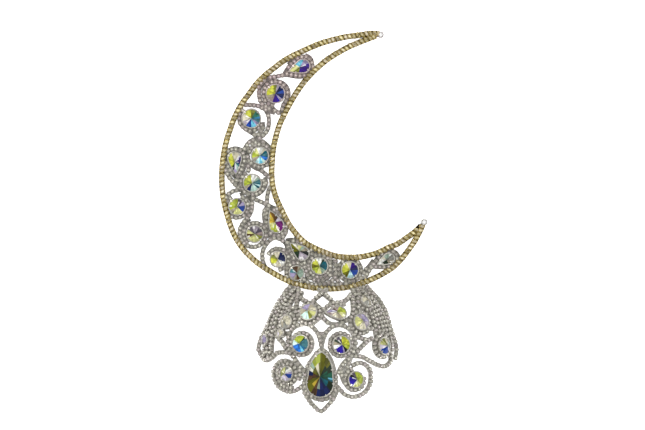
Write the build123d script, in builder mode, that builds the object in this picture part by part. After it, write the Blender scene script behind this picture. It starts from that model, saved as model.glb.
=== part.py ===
from build123d import *
from math import atan2, ceil, cos, degrees, hypot, pi, radians, sin, sqrt
import os

# Rhinestone headpiece: a crescent moon of gold cup chain filled with silver chain scrolls,
# and under it a hood of silver scrolls that bulges forward over a bun or a forehead.
# It lies on its back: X to the right, Y to the moon's upper horn, Z towards the viewer.

os.makedirs("parts", exist_ok=True)

# driving sizes, millimetres
moon_height = 128.0
hood_width = 70.0
hood_bulge = 25.0
rim_width = 3.5
rim_height = 2.6
chain_width = 2.5
chain_height = 2.2
shell_wall = 2.2
stone_across = 8.2
drop_across = 13.3
stone_rise = 1.5
stone_depth = 2.2
girdle = 0.35
bezel_wall = 0.45
bezel_height = 2.7
ledge = 0.55
ledge_height = 1.3
stone_gap = 0.06
piece_gap = 0.06
seat_lift = 0.25
hood_bezel = 1.9
ring_tuck = 0.3
ringed_tip = 1.1
small_belly = 0.06
big_belly = 0.24
cap_across = 3.2
cap_height = 2.8

# drawing grid: the moon is 256 rows high, the hood 140 columns wide
moon_unit = moon_height / 256
hood_unit = hood_width / 140
moon_mid_column = 323.384
moon_mid_row = 221.648
hood_mid_column = 327.3
hood_wide_row = 355.0
hood_top_row = 287.8
hood_mid_x = (hood_mid_column - moon_mid_column) * moon_unit
hood_top_y = (moon_mid_row - hood_top_row) * moon_unit
hood_wide_y = hood_top_y - (hood_wide_row - hood_top_row) * hood_unit

# hood form: an oval outline and a full, rounded profile from the moon down to the brow
outline_reach = 1.166 * hood_width / 2
profile_reach = (hood_wide_row - hood_top_row + 0.4) * hood_unit
profile_power = 2.6
step = 2.3


def moon_xy(column, row):
    return (column - moon_mid_column) * moon_unit, (moon_mid_row - row) * moon_unit


def hood_xy(column, row):
    x = hood_mid_x + (column - hood_mid_column) * hood_unit
    return x, hood_wide_y + (hood_wide_row - row) * hood_unit


def half_width(rise, inset=0.0):
    """Half width of the hood at a height above its widest row."""
    share = min(max(rise, 0) / outline_reach, 0.999)
    return hood_width / 2 * sqrt(1 - share**2) - inset


def bulge(rise, inset=0.0):
    """How far the hood stands forward on its middle line."""
    share = min(max(rise, 0) / (profile_reach - inset), 0.9985)
    return (hood_bulge - inset) * (1 - share**profile_power) ** (1 / profile_power)


def hood_z(x, y, inset=0.0):
    """Height of the hood's outer face over a point of the plan."""
    rise = y - hood_wide_y
    half = half_width(rise, inset)
    front = bulge(rise, inset)
    radius = (half**2 + front**2) / (2 * front)
    across = min(abs(x - hood_mid_x), half)
    return max(sqrt(max(radius**2 - across**2, 0)) - radius + front, 0)


def hood_normal(x, y):
    reach = 0.4
    slope_x = (hood_z(x + reach, y) - hood_z(x - reach, y)) / (2 * reach)
    slope_y = (hood_z(x, y + reach) - hood_z(x, y - reach)) / (2 * reach)
    return Vector(-slope_x, -slope_y, 1).normalized()


def smooth(points, spacing=step):
    """Points at an even spacing on a smooth curve through the chosen ones."""
    ends = [points[0]] + list(points) + [points[-1]]
    result = []
    for before, start, end, after in zip(ends, ends[1:], ends[2:], ends[3:]):
        count = max(1, ceil(hypot(end[0] - start[0], end[1] - start[1]) / spacing))
        for index in range(count):
            t = index / count
            result.append(
                tuple(
                    0.5 * (2 * b + (c - a) * t + (2 * a - 5 * b + 4 * c - d) * t**2)
                    + 0.5 * (3 * b - a - 3 * c + d) * t**3
                    for a, b, c, d in zip(before, start, end, after)
                )
            )
    return result + [tuple(points[-1])]


def band(points, width, surface=None):
    """Closed outline of a chain of this width, seen from the front."""
    route = smooth(points)
    left, right = [], []
    for index, (x, y) in enumerate(route):
        back = route[max(index - 1, 0)]
        ahead = route[min(index + 1, len(route) - 1)]
        along = Vector(ahead[0] - back[0], ahead[1] - back[1], 0)
        up = Vector(0, 0, 1)
        if surface:
            along += Vector(0, 0, surface(*ahead) - surface(*back))
            up = hood_normal(x, y)
        side = up.cross(along).normalized() * (width / 2)
        left.append((x + side.X, y + side.Y))
        right.append((x - side.X, y - side.Y))
    return left + right[::-1]


def dropped(seat, x, y):
    """Plan place where a point beside a stone, square to its seat, meets the hood's face."""
    place = seat.from_local_coords((x, y, 0))
    if seat.z_dir.Z > 0.999:
        return place.X, place.Y
    for _ in range(4):
        fall = (place.Z - hood_z(place.X, place.Y)) * seat.z_dir.Z
        place -= seat.z_dir * fall
    return place.X, place.Y


def ring_points(seat, radius, start, end):
    """Arc of points round a stone, in degrees from the right, counter-clockwise."""
    count = max(4, ceil(abs(end - start) / 24))
    turns = [radians(start + (end - start) * index / count) for index in range(count + 1)]
    return [dropped(seat, radius * cos(turn), radius * sin(turn)) for turn in turns]


def drop_ring(seat, across, tip, direction):
    """Two halves of a chain that follows a drop stone."""
    grow = ring_reach(across) - across / 2
    outline = stone_outline(across, tip, direction, grow)
    points = [dropped(seat, x, y) for x, y in outline]
    middle = len(points) // 2
    return [points[: middle + 2], [points[0]] + points[:middle:-1]]


def ring_reach(across):
    """Radius of the chain ring's middle line round a stone."""
    return across / 2 + stone_gap + bezel_wall + chain_width / 2 - ring_tuck


# stones, in drawing grid places; share is of stone_across, and a drop has its tip's distance
# in shares of its own width and its tip's direction in degrees
# name, column, row, share, tip, direction
moon_stones = [
    ("moon_drop_1", 303.0, 66.0, 0.80, 1.12, 201),
    ("moon_round_2", 275.4, 93.6, 1.10, 0, 0),
    ("moon_round_3", 251.3, 118.5, 1.11, 0, 0),
    ("moon_round_4", 260.0, 155.6, 1.00, 0, 0),
    ("moon_drop_5", 234.6, 158.5, 0.80, 1.16, 275),
    ("moon_round_6", 252.3, 183.0, 1.05, 0, 0),
    ("moon_round_7", 237.1, 206.7, 0.98, 0, 0),
    ("moon_round_8", 254.8, 234.0, 1.00, 0, 0),
    ("moon_drop_9", 276.5, 225.4, 0.86, 1.12, 114),
    ("moon_round_10", 277.9, 259.2, 0.93, 0, 0),
    ("moon_drop_11", 302.1, 253.3, 0.82, 1.14, 140),
    ("moon_round_12", 296.6, 273.0, 0.86, 0, 0),
    ("moon_round_13", 319.5, 266.0, 0.98, 0, 0),
    ("moon_round_14", 350.0, 270.0, 1.00, 0, 0),
    ("moon_drop_15", 389.0, 258.4, 0.62, 1.28, 208),
]

hood_stones = [
    ("hood_drop_1", 320.2, 382.6, 1.0, 1.18, 87),
    ("hood_round_2", 301.0, 343.2, 1.03, 0, 0),
    ("hood_round_3", 341.2, 344.0, 1.05, 0, 0),
    ("hood_round_4", 287.0, 373.2, 0.86, 0, 0),
    ("hood_round_5", 355.4, 378.6, 0.95, 0, 0),
    ("hood_round_6", 308.7, 311.8, 1.02, 0, 0),
    ("hood_drop_7", 339.4, 312.8, 0.80, 1.06, 178),
    ("hood_round_8", 361.0, 321.6, 1.00, 0, 0),
    ("hood_round_9", 286.5, 321.6, 0.78, 0, 0),
    ("hood_round_10", 281.2, 332.8, 0.45, 0, 0),
    ("hood_round_11", 265.2, 339.8, 0.60, 0, 0),
    ("hood_round_12", 383.8, 345.6, 1.00, 0, 0),
    ("hood_round_13", 365.8, 301.8, 0.68, 0, 0),
]

# chain rings round the stones: stone number, start and end in degrees
moon_rings = [
    (2, -26, 266), (3, 128, 338), (4, -150, 170), (6, 118, 382), (7, 118, 430),
    (8, -60, 235), (10, -88, 158), (12, 0, 330), (13, 10, 190), (13, 185, 372),
    (14, 96, 280), (14, 275, 458),
]
hood_rings = [
    (2, 0, 182), (2, 180, 362), (3, 0, 182), (3, 180, 362), (4, 0, 182), (4, 180, 362),
    (5, 100, 375), (6, 0, 182), (6, 180, 362), (8, 0, 182), (8, 180, 362),
    (9, -40, 215), (11, 30, 150), (12, 90, 265), (12, 260, 430), (13, 0, 182),
    (13, 180, 362),
]

# chain routes of the moon, drawing grid columns and rows
moon_outer_route = [
    (381, 34.6), (372, 33.4), (360, 35), (346, 36.8), (332, 40), (318.7, 44.1), (305.6, 49.6),
    (292.6, 55.7), (283.2, 61.1), (274.6, 67.6), (265.3, 74.9), (256.5, 83.7), (249.3, 93.4),
    (243.1, 101.8),
    (237.9, 110.3), (233.7, 119.3), (230.5, 128.4), (226.7, 140), (224.2, 151), (222.2, 166),
    (221.8, 182), (223, 196), (225.6, 209), (228.4, 219), (232, 229.7), (237, 240), (244, 250),
    (252.3, 258.4), (261, 265.4), (269.8, 271), (279, 276.3), (291, 281.9), (309, 286.9),
    (330, 288.8), (348, 287), (360, 283.6), (371.4, 279.4), (381.6, 274.4), (391, 268.8),
    (399.2, 261.4), (406.2, 253), (411, 246.4), (414.8, 240.8), (419, 233), (423, 224.5),
]
moon_inner_route = [
    (376, 35.8), (362, 41.2), (349, 46.7), (338, 52.6), (327, 59.7), (319, 66.4), (311, 74),
    (304, 82), (297.6, 90.8), (291.4, 101), (285.4, 112), (279.8, 124), (276, 136), (273.4, 148),
    (272.2, 160), (271.6, 172), (272.6, 185), (275.8, 197), (280.2, 207), (285, 217),
    (290.4, 226.4), (297, 234.8), (305, 242.6), (314.6, 248), (325, 252.4), (335, 255.8),
    (348, 257.4), (361, 256.8), (376, 253.4), (388, 247.8), (398, 243.6), (408, 236.8),
    (416, 230.8), (421, 225.6),
]
moon_scroll_routes = [
    [(305, 55), (310, 57.5), (312, 62), (311, 66.5), (309, 71)],
    [(309.5, 73), (303, 76.3), (296, 76.6), (289, 75.4), (283, 75.2), (276, 76.6), (268, 78)],
    [(284, 74.5), (287.4, 68.6), (292, 63.4), (298, 59.6)],
    [(288.6, 64.6), (292, 60), (297, 57)],
    [(270, 77.6), (264, 80.4), (259.6, 85), (257.4, 89)],
    [(276, 80.2), (267.4, 80.6), (261.4, 85.6), (259, 92), (259.8, 99.4), (263.8, 105.4), (271, 109.4)],
    [(276, 80.8), (283, 83), (287.4, 88), (288.6, 94), (287, 99), (283.6, 104.5), (281.5, 111)],
    [(271, 106), (274, 109.5), (279, 112.6), (284, 112.4)],
    [(244, 105), (251, 104.8), (257, 105.6), (262, 107.6), (266, 110), (270, 111.5), (275, 113)],
    [(265.4, 110), (268.4, 116), (268.8, 124), (267, 131), (262.4, 135.8), (258, 139.4)],
    [(262.6, 122), (263, 128), (259.4, 133), (256.8, 140)],
    [(250.6, 145.4), (256, 142.4), (261, 143.4)],
    [(245, 128.6), (250, 132), (254, 134.4), (258, 137), (264, 133)],
    [(259, 138), (251, 140.6), (246, 146), (244.2, 152), (245, 160), (244.4, 167), (241.4, 174),
     (240.6, 181), (242, 188), (246.6, 194)],
    [(258, 139.4), (264.5, 142.6), (269, 147), (271, 152)],
    [(248.4, 146), (247.6, 156), (250, 163.5), (255, 168), (261, 170.4), (265.5, 174), (270.5, 178)],
    [(244.6, 160), (247, 164.5), (249, 168.6), (247.4, 172.4)],
    [(225.6, 152.4), (230.4, 149.4), (235.6, 148.2), (240.4, 149.6), (244.2, 153.4)],
    [(224.5, 164), (226, 171), (229.3, 177), (233.7, 182.5), (239.6, 189)],
    [(241.4, 170), (238.6, 176), (236.4, 181), (238.6, 186), (241.6, 190)],
    [(265, 177), (266, 183.5), (263, 190), (257.4, 194.6), (251, 195)],
    [(246.6, 193), (241, 190), (234, 191), (228.4, 194.6), (224.6, 199)],
    [(247.4, 194.6), (253, 198), (260.4, 201.7), (267, 204.6), (274, 208), (279, 209)],
    [(246.4, 195), (251, 200), (252.2, 207), (250.2, 214), (246, 219.4), (242.4, 224),
     (240, 229.4), (240, 235.6), (242.4, 241.4), (247, 245.4), (253, 247.2), (259, 245.6),
     (264, 241.4)],
    [(270.5, 186), (268, 192), (267.2, 198), (267, 204)],
    [(241, 192.4), (243, 197), (246, 201)],
    [(250, 218.6), (246, 222.4), (243, 227), (242.4, 233)],
    [(268, 205), (264.6, 211), (264, 218), (265.6, 225), (267.4, 231), (268.4, 238)],
    [(267.4, 231), (271, 235.4), (277, 238), (283.2, 236.4), (286.2, 231), (286, 223)],
    [(276, 237.6), (271, 239.4), (267, 243.6), (263.6, 249), (262.2, 255), (263, 262), (266, 268)],
    [(277, 237.6), (282.6, 240.6), (286.4, 245), (287.4, 251), (290.4, 256.6), (296, 260.4),
     (303, 261.6)],
    [(286, 240.6), (292, 239.6), (299, 241.8), (305.6, 245)],
    [(294, 237.4), (297.8, 239), (302, 242)],
    [(308.6, 247.4), (313.4, 251.2), (319, 254.6), (325, 257.2)],
    [(312, 252), (312.4, 258), (309, 262)],
    [(287, 251), (289.4, 258), (287.6, 266), (284.6, 270.5)],
    [(290, 262), (298, 261.6), (304, 264.8), (307.2, 271), (306.4, 278.6), (302.6, 283.8)],
    [(309.4, 268), (310.2, 274), (309.4, 280)],
    [(286.4, 268), (286.6, 276), (290, 280.4)],
    [(309.6, 275.4), (313.6, 279.2), (320, 280.6), (327, 278.6), (331, 273.4)],
    [(305.6, 281.4), (312, 284.2), (320, 284.8), (328, 283.2), (334, 279)],
    [(330, 257), (331.4, 263), (330.8, 270), (332, 274), (337, 280), (342, 285.4)],
    [(335, 259), (335.8, 265), (335.4, 272), (339, 279)],
    [(322, 285.4), (333, 284.6), (345, 284.2), (357, 282)],
    [(359, 278), (364.6, 277.6), (367.8, 272.4), (371.4, 267), (375.2, 261.2), (379, 255.4)],
    [(363, 275), (365.8, 270), (369.8, 265), (373.6, 260)],
    [(372.6, 266.6), (379, 267.2), (386, 266.6), (392, 264.4), (397, 261)],
    [(386.6, 268.8), (391.6, 265.6), (396.4, 261.6), (399.6, 256.6)],
    [(391, 250.4), (396, 252.6), (398.4, 257), (397, 261)],
]

# chain routes of the hood, drawing grid columns and rows
hood_routes = [
    [(291, 285.6), (285.4, 291.4), (278.8, 298.4), (274.4, 304.8), (270.8, 312), (267.6, 319.4),
     (264.2, 327), (261, 335), (259, 343), (258.4, 351), (260.4, 357.4), (265, 360.2),
     (270.4, 357.2), (275, 353), (282, 351.6), (291, 353)],
    [(268.8, 350), (268.6, 354), (266, 357.4)],
    [(263.4, 350), (263.8, 356)],
    [(298.2, 286), (297.6, 292), (296, 300), (295.4, 308), (295.4, 315), (297, 320.4)],
    [(298.4, 289.6), (300, 295.6), (304.4, 299.2), (310.4, 299.8), (315.4, 298)],
    [(290, 325.4), (286.2, 330), (285.4, 335)],
    [(274.6, 327), (275, 333.4), (277.6, 338), (281.4, 342.2), (284.6, 347.6), (287, 352)],
    [(291, 354), (287.9, 347), (287.2, 338.6), (288.8, 331.4), (293, 326.2), (299, 323.6),
     (305.6, 322.8), (312.4, 326.2), (317, 331.8), (319.8, 338.6), (321.4, 346)],
    [(321.4, 346), (323.4, 338), (326.6, 331), (332.4, 325.8), (340.4, 324), (349, 327.2),
     (354.3, 333.6), (356.2, 341.2), (354.6, 349), (351.4, 357)],
    [(321.6, 330.6), (321.5, 339), (321.6, 349)],
    [(309.5, 325), (313.4, 321.4), (318, 317.6), (321.5, 314.4), (321.5, 311), (320.4, 306.6),
     (317, 303.4), (313.6, 300.4)],
    [(329.4, 322.6), (324.6, 318.4), (321.6, 314.4), (321.5, 311), (325, 306.8), (332, 301.6),
     (340, 300.8), (346.8, 298), (351.6, 292.4)],
    [(324.6, 318.4), (331, 322.4), (338.4, 322.6), (346, 319.6), (351, 315.6)],
    [(329.6, 309.6), (334, 305.6), (339.4, 303.6), (346, 302)],
    [(329.6, 313), (332.8, 317), (338, 319.4), (345, 317.6)],
    [(353, 289.8), (357, 296), (358.6, 304), (358, 311), (356, 315.6)],
    [(351.6, 290), (353, 297), (353.8, 304), (353.6, 311), (351.6, 317)],
    [(357, 287), (359.6, 292.4), (358.8, 299)],
    [(326.6, 287.4), (322.8, 290.4), (318.6, 293.6), (314.6, 296.8), (311.6, 299.4)],
    [(319, 287.4), (322.8, 290.4), (327.6, 294.8), (332, 298.6), (335, 301)],
    [(366, 285.6), (371.4, 291.4), (377.4, 298), (382.2, 305), (386.2, 312.4), (389.4, 320),
     (392, 328), (394.2, 336), (395.8, 344), (396.4, 352), (396, 360)],
    [(391.8, 350), (392.6, 355), (392.8, 360.4), (389.8, 364.4), (385, 366.2), (379.4, 364.8),
     (371.7, 360.9), (364, 356.6), (354.5, 355.4)],
    [(354.5, 355.4), (359.4, 349.4), (364.3, 344.3), (369, 340.2), (374, 337)],
    [(357, 335), (362, 337.6), (367.6, 339), (374, 338.6)],
    [(350.4, 357), (344.4, 361.8), (340.6, 367.4), (338, 373.6)],
    [(352, 357), (349, 364), (345.6, 370), (344.4, 376)],
    [(343.4, 365), (341.6, 371), (342.6, 377), (345.4, 383)],
    [(352.6, 365.6), (357, 362.9), (362, 362.4), (367.4, 364.8), (371, 369.6), (372.2, 376),
     (371.2, 383.6), (367.6, 389.8), (362, 394), (355, 396), (348, 394.8), (342.4, 391.2),
     (338, 385.4)],
    [(291, 354), (295.4, 360.6), (300, 366.4), (304.6, 371)],
    [(296.4, 364), (299.2, 369), (299.6, 374.6), (297.4, 380)],
    [(293, 364), (286.6, 360.6), (279.6, 361), (274.4, 365.4), (271.9, 371.6), (273, 379),
     (277, 385.8), (283, 389.8), (290, 391), (296.6, 388.8), (302, 384.6)],
    [(284, 363.6), (279, 366.8), (276.6, 372.2), (277.4, 378.6), (280.6, 384), (286, 387),
     (292.4, 387)],
    [(321.6, 349), (317.6, 351.2), (313.8, 355.4), (310.4, 360), (307.8, 365), (305.6, 370.4),
     (304.2, 377), (304, 384), (307, 391.4),
     (313.4, 397), (321, 399)],
    [(320, 399), (328.4, 397), (334, 391.4), (336, 384), (335.8, 377), (334.8, 371), (333.4, 365),
     (331.2, 359), (328, 353.8), (324.8, 350.4), (321.6, 349)],
    [(302.4, 386), (304.4, 392.6), (308.6, 399.4), (314, 405.4), (321, 410.2), (327.4, 404.6),
     (332.6, 399), (336.8, 391.6), (337.6, 384)],
]


# dense rows beside the hood's outline: side, share of the half width, first and last grid row
hood_rows = [
    (-1, 0.93, 285.6, 334), (-1, 0.93, 344, 357), (-1, 0.88, 296, 358), (-1, 0.83, 285.6, 354),
    (-1, 0.775, 302, 337), (-1, 0.72, 291, 333), (-1, 0.665, 304, 332), (-1, 0.61, 290, 326),
    (-1, 0.555, 306, 320), (1, 0.95, 285.6, 356), (1, 0.905, 296, 336), (1, 0.855, 285.6, 336),
    (1, 0.80, 302, 336), (1, 0.745, 285.6, 336), (1, 0.69, 308, 330), (1, 0.645, 285.6, 300),
]


def outline_row(side, share, first, last):
    """Grid points of a row that keeps a share of the hood's half width."""
    count = 6
    rows = [first + (last - first) * index / count for index in range(count + 1)]
    return [(hood_mid_column + side * share * half_width((hood_wide_row - row) * hood_unit)
             / hood_unit, row) for row in rows]


hood_routes += [outline_row(*row) for row in hood_rows]


def drop_outline(radius, reach, direction, grow=0.0):
    """Drop shape from its round end's centre to its tip, as an outline of corners."""
    size = radius + grow
    tip = reach + grow * 1.5
    lean = degrees(atan2(sqrt(max(tip**2 - size**2, 0.01)), size))
    count = 8
    turns = [lean + (360 - 2 * lean) * index / (count - 1) for index in range(count)]
    corners = [(size * cos(radians(turn)), size * sin(radians(turn))) for turn in turns]
    belly = size * (big_belly if radius > 0.4 * drop_across else small_belly)
    touch_x, touch_y = corners[0]
    middle = ((touch_x + tip) / 2 + belly, touch_y / 2 + belly)
    outline = [(tip, 0), middle] + corners + [(middle[0], -middle[1])]
    turned = []
    for x, y in outline:
        angle = radians(direction)
        turned.append((x * cos(angle) - y * sin(angle), x * sin(angle) + y * cos(angle)))
    return turned


def round_outline(radius, sides=10):
    turns = [2 * pi * (index + 0.5) / sides for index in range(sides)]
    return [(radius * cos(turn), radius * sin(turn)) for turn in turns]


def stone_outline(across, tip, direction, grow=0.0):
    if tip:
        return drop_outline(across / 2, tip * across, direction, grow)
    return round_outline(across / 2 + grow)


def seat_outline(across, tip, direction, grow=0.0, sides=16):
    """Outline of a setting: rounder than its stone, with its flats clear of the stone's corners."""
    if tip:
        return drop_outline(across / 2, tip * across, direction, grow)
    return round_outline((across / 2 + grow) / cos(pi / sides), sides)


def scaled(outline, share, centre=(0, 0)):
    return [(centre[0] + (x - centre[0]) * share, centre[1] + (y - centre[1]) * share)
            for x, y in outline]


def stone_across_of(name, share):
    return drop_across * share if name == "hood_drop_1" else stone_across * share


def stone_seat(name, column, row, on_hood):
    """Plane of a stone's girdle: flat on the moon, square to the hood's face on the hood."""
    if not on_hood:
        x, y = moon_xy(column, row)
        return Plane(origin=(x, y, bezel_height - girdle), x_dir=(1, 0, 0), z_dir=(0, 0, 1))
    x, y = hood_xy(column, row)
    up = hood_normal(x, y)
    base = Vector(x, y, hood_z(x, y))
    across = Vector(0, 1, 0).cross(up).normalized()
    return Plane(origin=base + up * seat_lift, x_dir=across, z_dir=up)


def make_stone(name, across, tip, direction, seat):
    """Cut stone: table, two rows of crown facets, girdle and a pointed back."""
    outline = stone_outline(across, tip, direction)
    turn = radians(direction)
    centre = (tip * across * 0.3 * cos(turn), tip * across * 0.3 * sin(turn)) if tip else (0, 0)
    size = across / stone_across
    levels = [
        (-stone_depth * size, 0.14), (0, 1.0), (girdle, 1.0),
        (girdle + stone_rise * 0.62 * size, 0.68), (girdle + stone_rise * size, 0.24),
    ]
    with BuildPart() as stone:
        for (low, low_share), (high, high_share) in zip(levels, levels[1:]):
            with BuildSketch(seat.offset(low)):
                Polygon(*scaled(outline, low_share, centre), align=None)
            with BuildSketch(seat.offset(high)):
                Polygon(*scaled(outline, high_share, centre), align=None)
            loft(ruled=True)
    stone.part.label = name
    return stone


all_stones = []
for on_hood, table in ((False, moon_stones), (True, hood_stones)):
    for name, column, row, share, tip, direction in table:
        across = stone_across_of(name, share)
        seat = stone_seat(name, column, row, on_hood)
        stone = make_stone(name, across, tip, direction, seat)
        export_step(stone.part, "parts/" + name + ".step")
        all_stones.append((on_hood, across, tip, direction, seat))

moon_seats = [entry[1:] for entry in all_stones if not entry[0]]
hood_seats = [entry[1:] for entry in all_stones if entry[0]]

# round silver cups that close the moon's two horns
horn_places = {"horn_cap_upper": (380.6, 34.8), "horn_cap_lower": (424.2, 222.2)}
for name, place in horn_places.items():
    x, y = moon_xy(*place)
    with BuildPart() as horn_cap:
        with BuildSketch():
            with Locations((x, y)):
                Circle(cap_across / 2)
        extrude(amount=cap_height)
        fillet(horn_cap.edges().sort_by(Axis.Z)[-1], 0.28 * cap_across)
    horn_cap.part.label = name
    export_step(horn_cap.part, "parts/" + name + ".step")

# gold chain round the moon, one soldered loop
moon_outer = [moon_xy(*place) for place in moon_outer_route]
moon_inner = [moon_xy(*place) for place in moon_inner_route]
with BuildPart() as moon_rim:
    with BuildSketch() as rim_plan:
        bands = [Polygon(*band(route, rim_width), align=None, mode=Mode.PRIVATE)
                 for route in (moon_outer, moon_inner)]
        add(bands)
        with Locations(*[moon_xy(*place) for place in horn_places.values()]):
            Circle(cap_across / 2 + piece_gap, mode=Mode.SUBTRACT)
    extrude(amount=rim_height)
moon_rim.part.label = "moon_rim"
export_step(moon_rim.part, "parts/moon_rim.step")


def chain_bands(routes, place, rings, seats, surface=None):
    """Flat outlines of all the chains of one area, as seen from the front."""
    lines = [[place(*point) for point in route] for route in routes]
    for number, start, end in rings:
        across, tip, direction, seat = seats[number - 1]
        lines.append(ring_points(seat, ring_reach(across), start, end))
    for across, tip, direction, seat in seats:
        if tip > ringed_tip and across < drop_across:
            lines += drop_ring(seat, across, tip, direction)
    return [Polygon(*band(line, chain_width, surface), align=None, mode=Mode.PRIVATE)
            for line in lines]


def seat_shapes(grow):
    return [Polygon(*seat_outline(across, tip, direction, grow), align=None,
                    mode=Mode.PRIVATE).moved(Location((seat.origin.X, seat.origin.Y, 0)))
            for across, tip, direction, seat in moon_seats]


with BuildSketch() as rim_room:
    add([Polygon(*band(route, rim_width + 2 * piece_gap), align=None, mode=Mode.PRIVATE)
         for route in (moon_outer, moon_inner)])

# silver chain scrolls and settings of the moon, one soldered piece
with BuildPart() as moon_scrolls:
    with BuildSketch() as scroll_plan:
        add(chain_bands(moon_scroll_routes, moon_xy, moon_rings, moon_seats))
        add(seat_shapes(stone_gap + bezel_wall))
        add(seat_shapes(-ledge), mode=Mode.SUBTRACT)
        add(rim_room.sketch, mode=Mode.SUBTRACT)
    extrude(amount=chain_height)
    with BuildSketch(Plane.XY.offset(ledge_height)) as bezel_plan:
        add(seat_shapes(stone_gap + bezel_wall))
        add(rim_room.sketch, mode=Mode.SUBTRACT)
    extrude(amount=bezel_height - ledge_height)
    with BuildSketch(Plane.XY.offset(ledge_height)):
        add(seat_shapes(stone_gap))
    extrude(amount=bezel_height, mode=Mode.SUBTRACT)
moon_scrolls.part.label = "moon_scrolls"
export_step(moon_scrolls.part, "parts/moon_scrolls.step")

# hood: the wall that its chains lie in, open to the back and to the brow
section_shares = (-0.88, -0.4, 0, 0.3, 0.5, 0.65, 0.78, 0.88, 0.94, 0.975, 1.0)


def hood_form(inset, below):
    with BuildPart() as form:
        for share in section_shares:
            rise = share * (profile_reach - inset)
            half = half_width(rise, inset)
            front = bulge(rise, inset)
            y = hood_wide_y + rise - (inset if share == section_shares[0] else 0)
            place = Plane(origin=(hood_mid_x, y, 0), x_dir=(1, 0, 0), z_dir=(0, -1, 0))
            with BuildSketch(place):
                with BuildLine():
                    ThreePointArc((-half, 0), (0, front), (half, 0))
                    Polyline((half, 0), (half, -below), (-half, -below), (-half, 0))
                make_face()
        loft(ruled=True)
    return form.part


with BuildPart() as hood_wall:
    add(hood_form(0, 1))
    add(hood_form(shell_wall, 2), mode=Mode.SUBTRACT)
    apron_depth = 5
    apron_width = 2 * half_width(profile_reach) + 2
    with BuildSketch():
        with Locations((hood_mid_x, hood_wide_y + profile_reach + apron_depth / 2 - shell_wall)):
            Rectangle(apron_width, apron_depth)
    extrude(amount=chain_height)
    with BuildSketch():
        add(rim_room.sketch)
    extrude(amount=rim_height + piece_gap, mode=Mode.SUBTRACT)
    for across, tip, direction, seat in hood_seats:
        with BuildSketch(seat.offset(-2 * shell_wall)):
            Polygon(*seat_outline(across, tip, direction, stone_gap + bezel_wall / 2),
                    align=None)
    extrude(amount=4 * shell_wall, mode=Mode.SUBTRACT)

# settings of the hood's stones: a wall round each and a ledge under its girdle
with BuildPart() as hood_settings:
    for across, tip, direction, seat in hood_seats:
        with BuildSketch(seat.offset(-hood_bezel)):
            Polygon(*seat_outline(across, tip, direction, stone_gap + bezel_wall), align=None)
            Polygon(*seat_outline(across, tip, direction, -ledge), align=None,
                    mode=Mode.SUBTRACT)
    extrude(amount=hood_bezel + girdle)
    for across, tip, direction, seat in hood_seats:
        with BuildSketch(seat.offset(-hood_bezel + ledge_height)):
            Polygon(*seat_outline(across, tip, direction, stone_gap), align=None)
    extrude(amount=2 * hood_bezel, mode=Mode.SUBTRACT)

# silver chain scrolls and settings of the hood, one soldered piece
with BuildPart() as hood_scrolls:
    with BuildSketch() as hood_plan:
        add(chain_bands(hood_routes, hood_xy, hood_rings, hood_seats, hood_z))
    extrude(amount=hood_bulge + 5)
    add(hood_wall.part, mode=Mode.INTERSECT)
    add(hood_settings.part)
hood_scrolls.part.label = "hood_scrolls"
export_step(hood_scrolls.part, "parts/hood_scrolls.step")
for name, piece in (("moon", moon_scrolls), ("hood", hood_scrolls)):
    for solid in piece.part.solids():
        box = solid.bounding_box()
        print(name, round(solid.volume, 2), box.min, box.max)
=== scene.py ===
import itertools
import math
import random

import bmesh
import bpy
from mathutils import Matrix, Vector


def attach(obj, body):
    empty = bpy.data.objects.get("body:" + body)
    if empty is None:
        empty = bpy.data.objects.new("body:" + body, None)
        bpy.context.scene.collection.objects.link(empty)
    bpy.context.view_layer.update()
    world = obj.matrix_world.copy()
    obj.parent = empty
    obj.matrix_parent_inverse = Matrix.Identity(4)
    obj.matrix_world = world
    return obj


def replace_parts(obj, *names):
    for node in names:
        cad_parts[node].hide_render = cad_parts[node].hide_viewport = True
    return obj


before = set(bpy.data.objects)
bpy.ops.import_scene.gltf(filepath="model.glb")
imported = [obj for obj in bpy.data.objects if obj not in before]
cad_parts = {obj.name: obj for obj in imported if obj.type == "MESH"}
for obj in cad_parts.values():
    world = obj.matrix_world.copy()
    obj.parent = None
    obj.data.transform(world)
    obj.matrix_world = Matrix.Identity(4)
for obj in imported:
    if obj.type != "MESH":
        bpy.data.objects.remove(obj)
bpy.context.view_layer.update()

# A rhinestone headpiece: a crescent moon of gold cup chain filled with silver scrolls and aurora
# stones, and a hood of the same scrolls under it. It lies on its back, the upper horn towards +Y.

random.seed(11)
mm = 0.001

# drawing grid that every place below is given in, and the hood's form over it
drawing = {"unit": 0.5 * mm, "midColumn": 323.384, "midRow": 221.648}
hood = {
    "midColumn": 327.3, "wideRow": 355.0, "topRow": 287.8,
    "width": 70 * mm, "bulge": 25 * mm, "outlineShare": 1.166, "power": 2.6,
    "topMargin": 0.4, "outlineLimit": 0.999, "profileLimit": 0.9985, "slopeStep": 0.4 * mm,
}
sizes = {
    "chainHeight": 2.2 * mm, "chainWidth": 2.5 * mm, "rimHeight": 2.6 * mm, "rimWidth": 3.5 * mm,
    "stoneAcross": 8.2 * mm, "bigDropAcross": 13.3 * mm, "stoneGap": 0.06 * mm,
    "bezelWall": 0.45 * mm, "bezelHeight": 2.7 * mm, "girdle": 0.35 * mm,
    "stoneRise": 1.5 * mm, "stoneDepth": 2.2 * mm, "seatLift": 0.25 * mm, "hoodBezel": 1.9 * mm,
    "ringTuck": 0.3 * mm, "ringedTip": 1.1, "smallBelly": 0.06, "bigBelly": 0.24,
}


def gridPlace(column, row):
    x = (column - drawing["midColumn"]) * drawing["unit"]
    return x, (drawing["midRow"] - row) * drawing["unit"]


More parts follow.
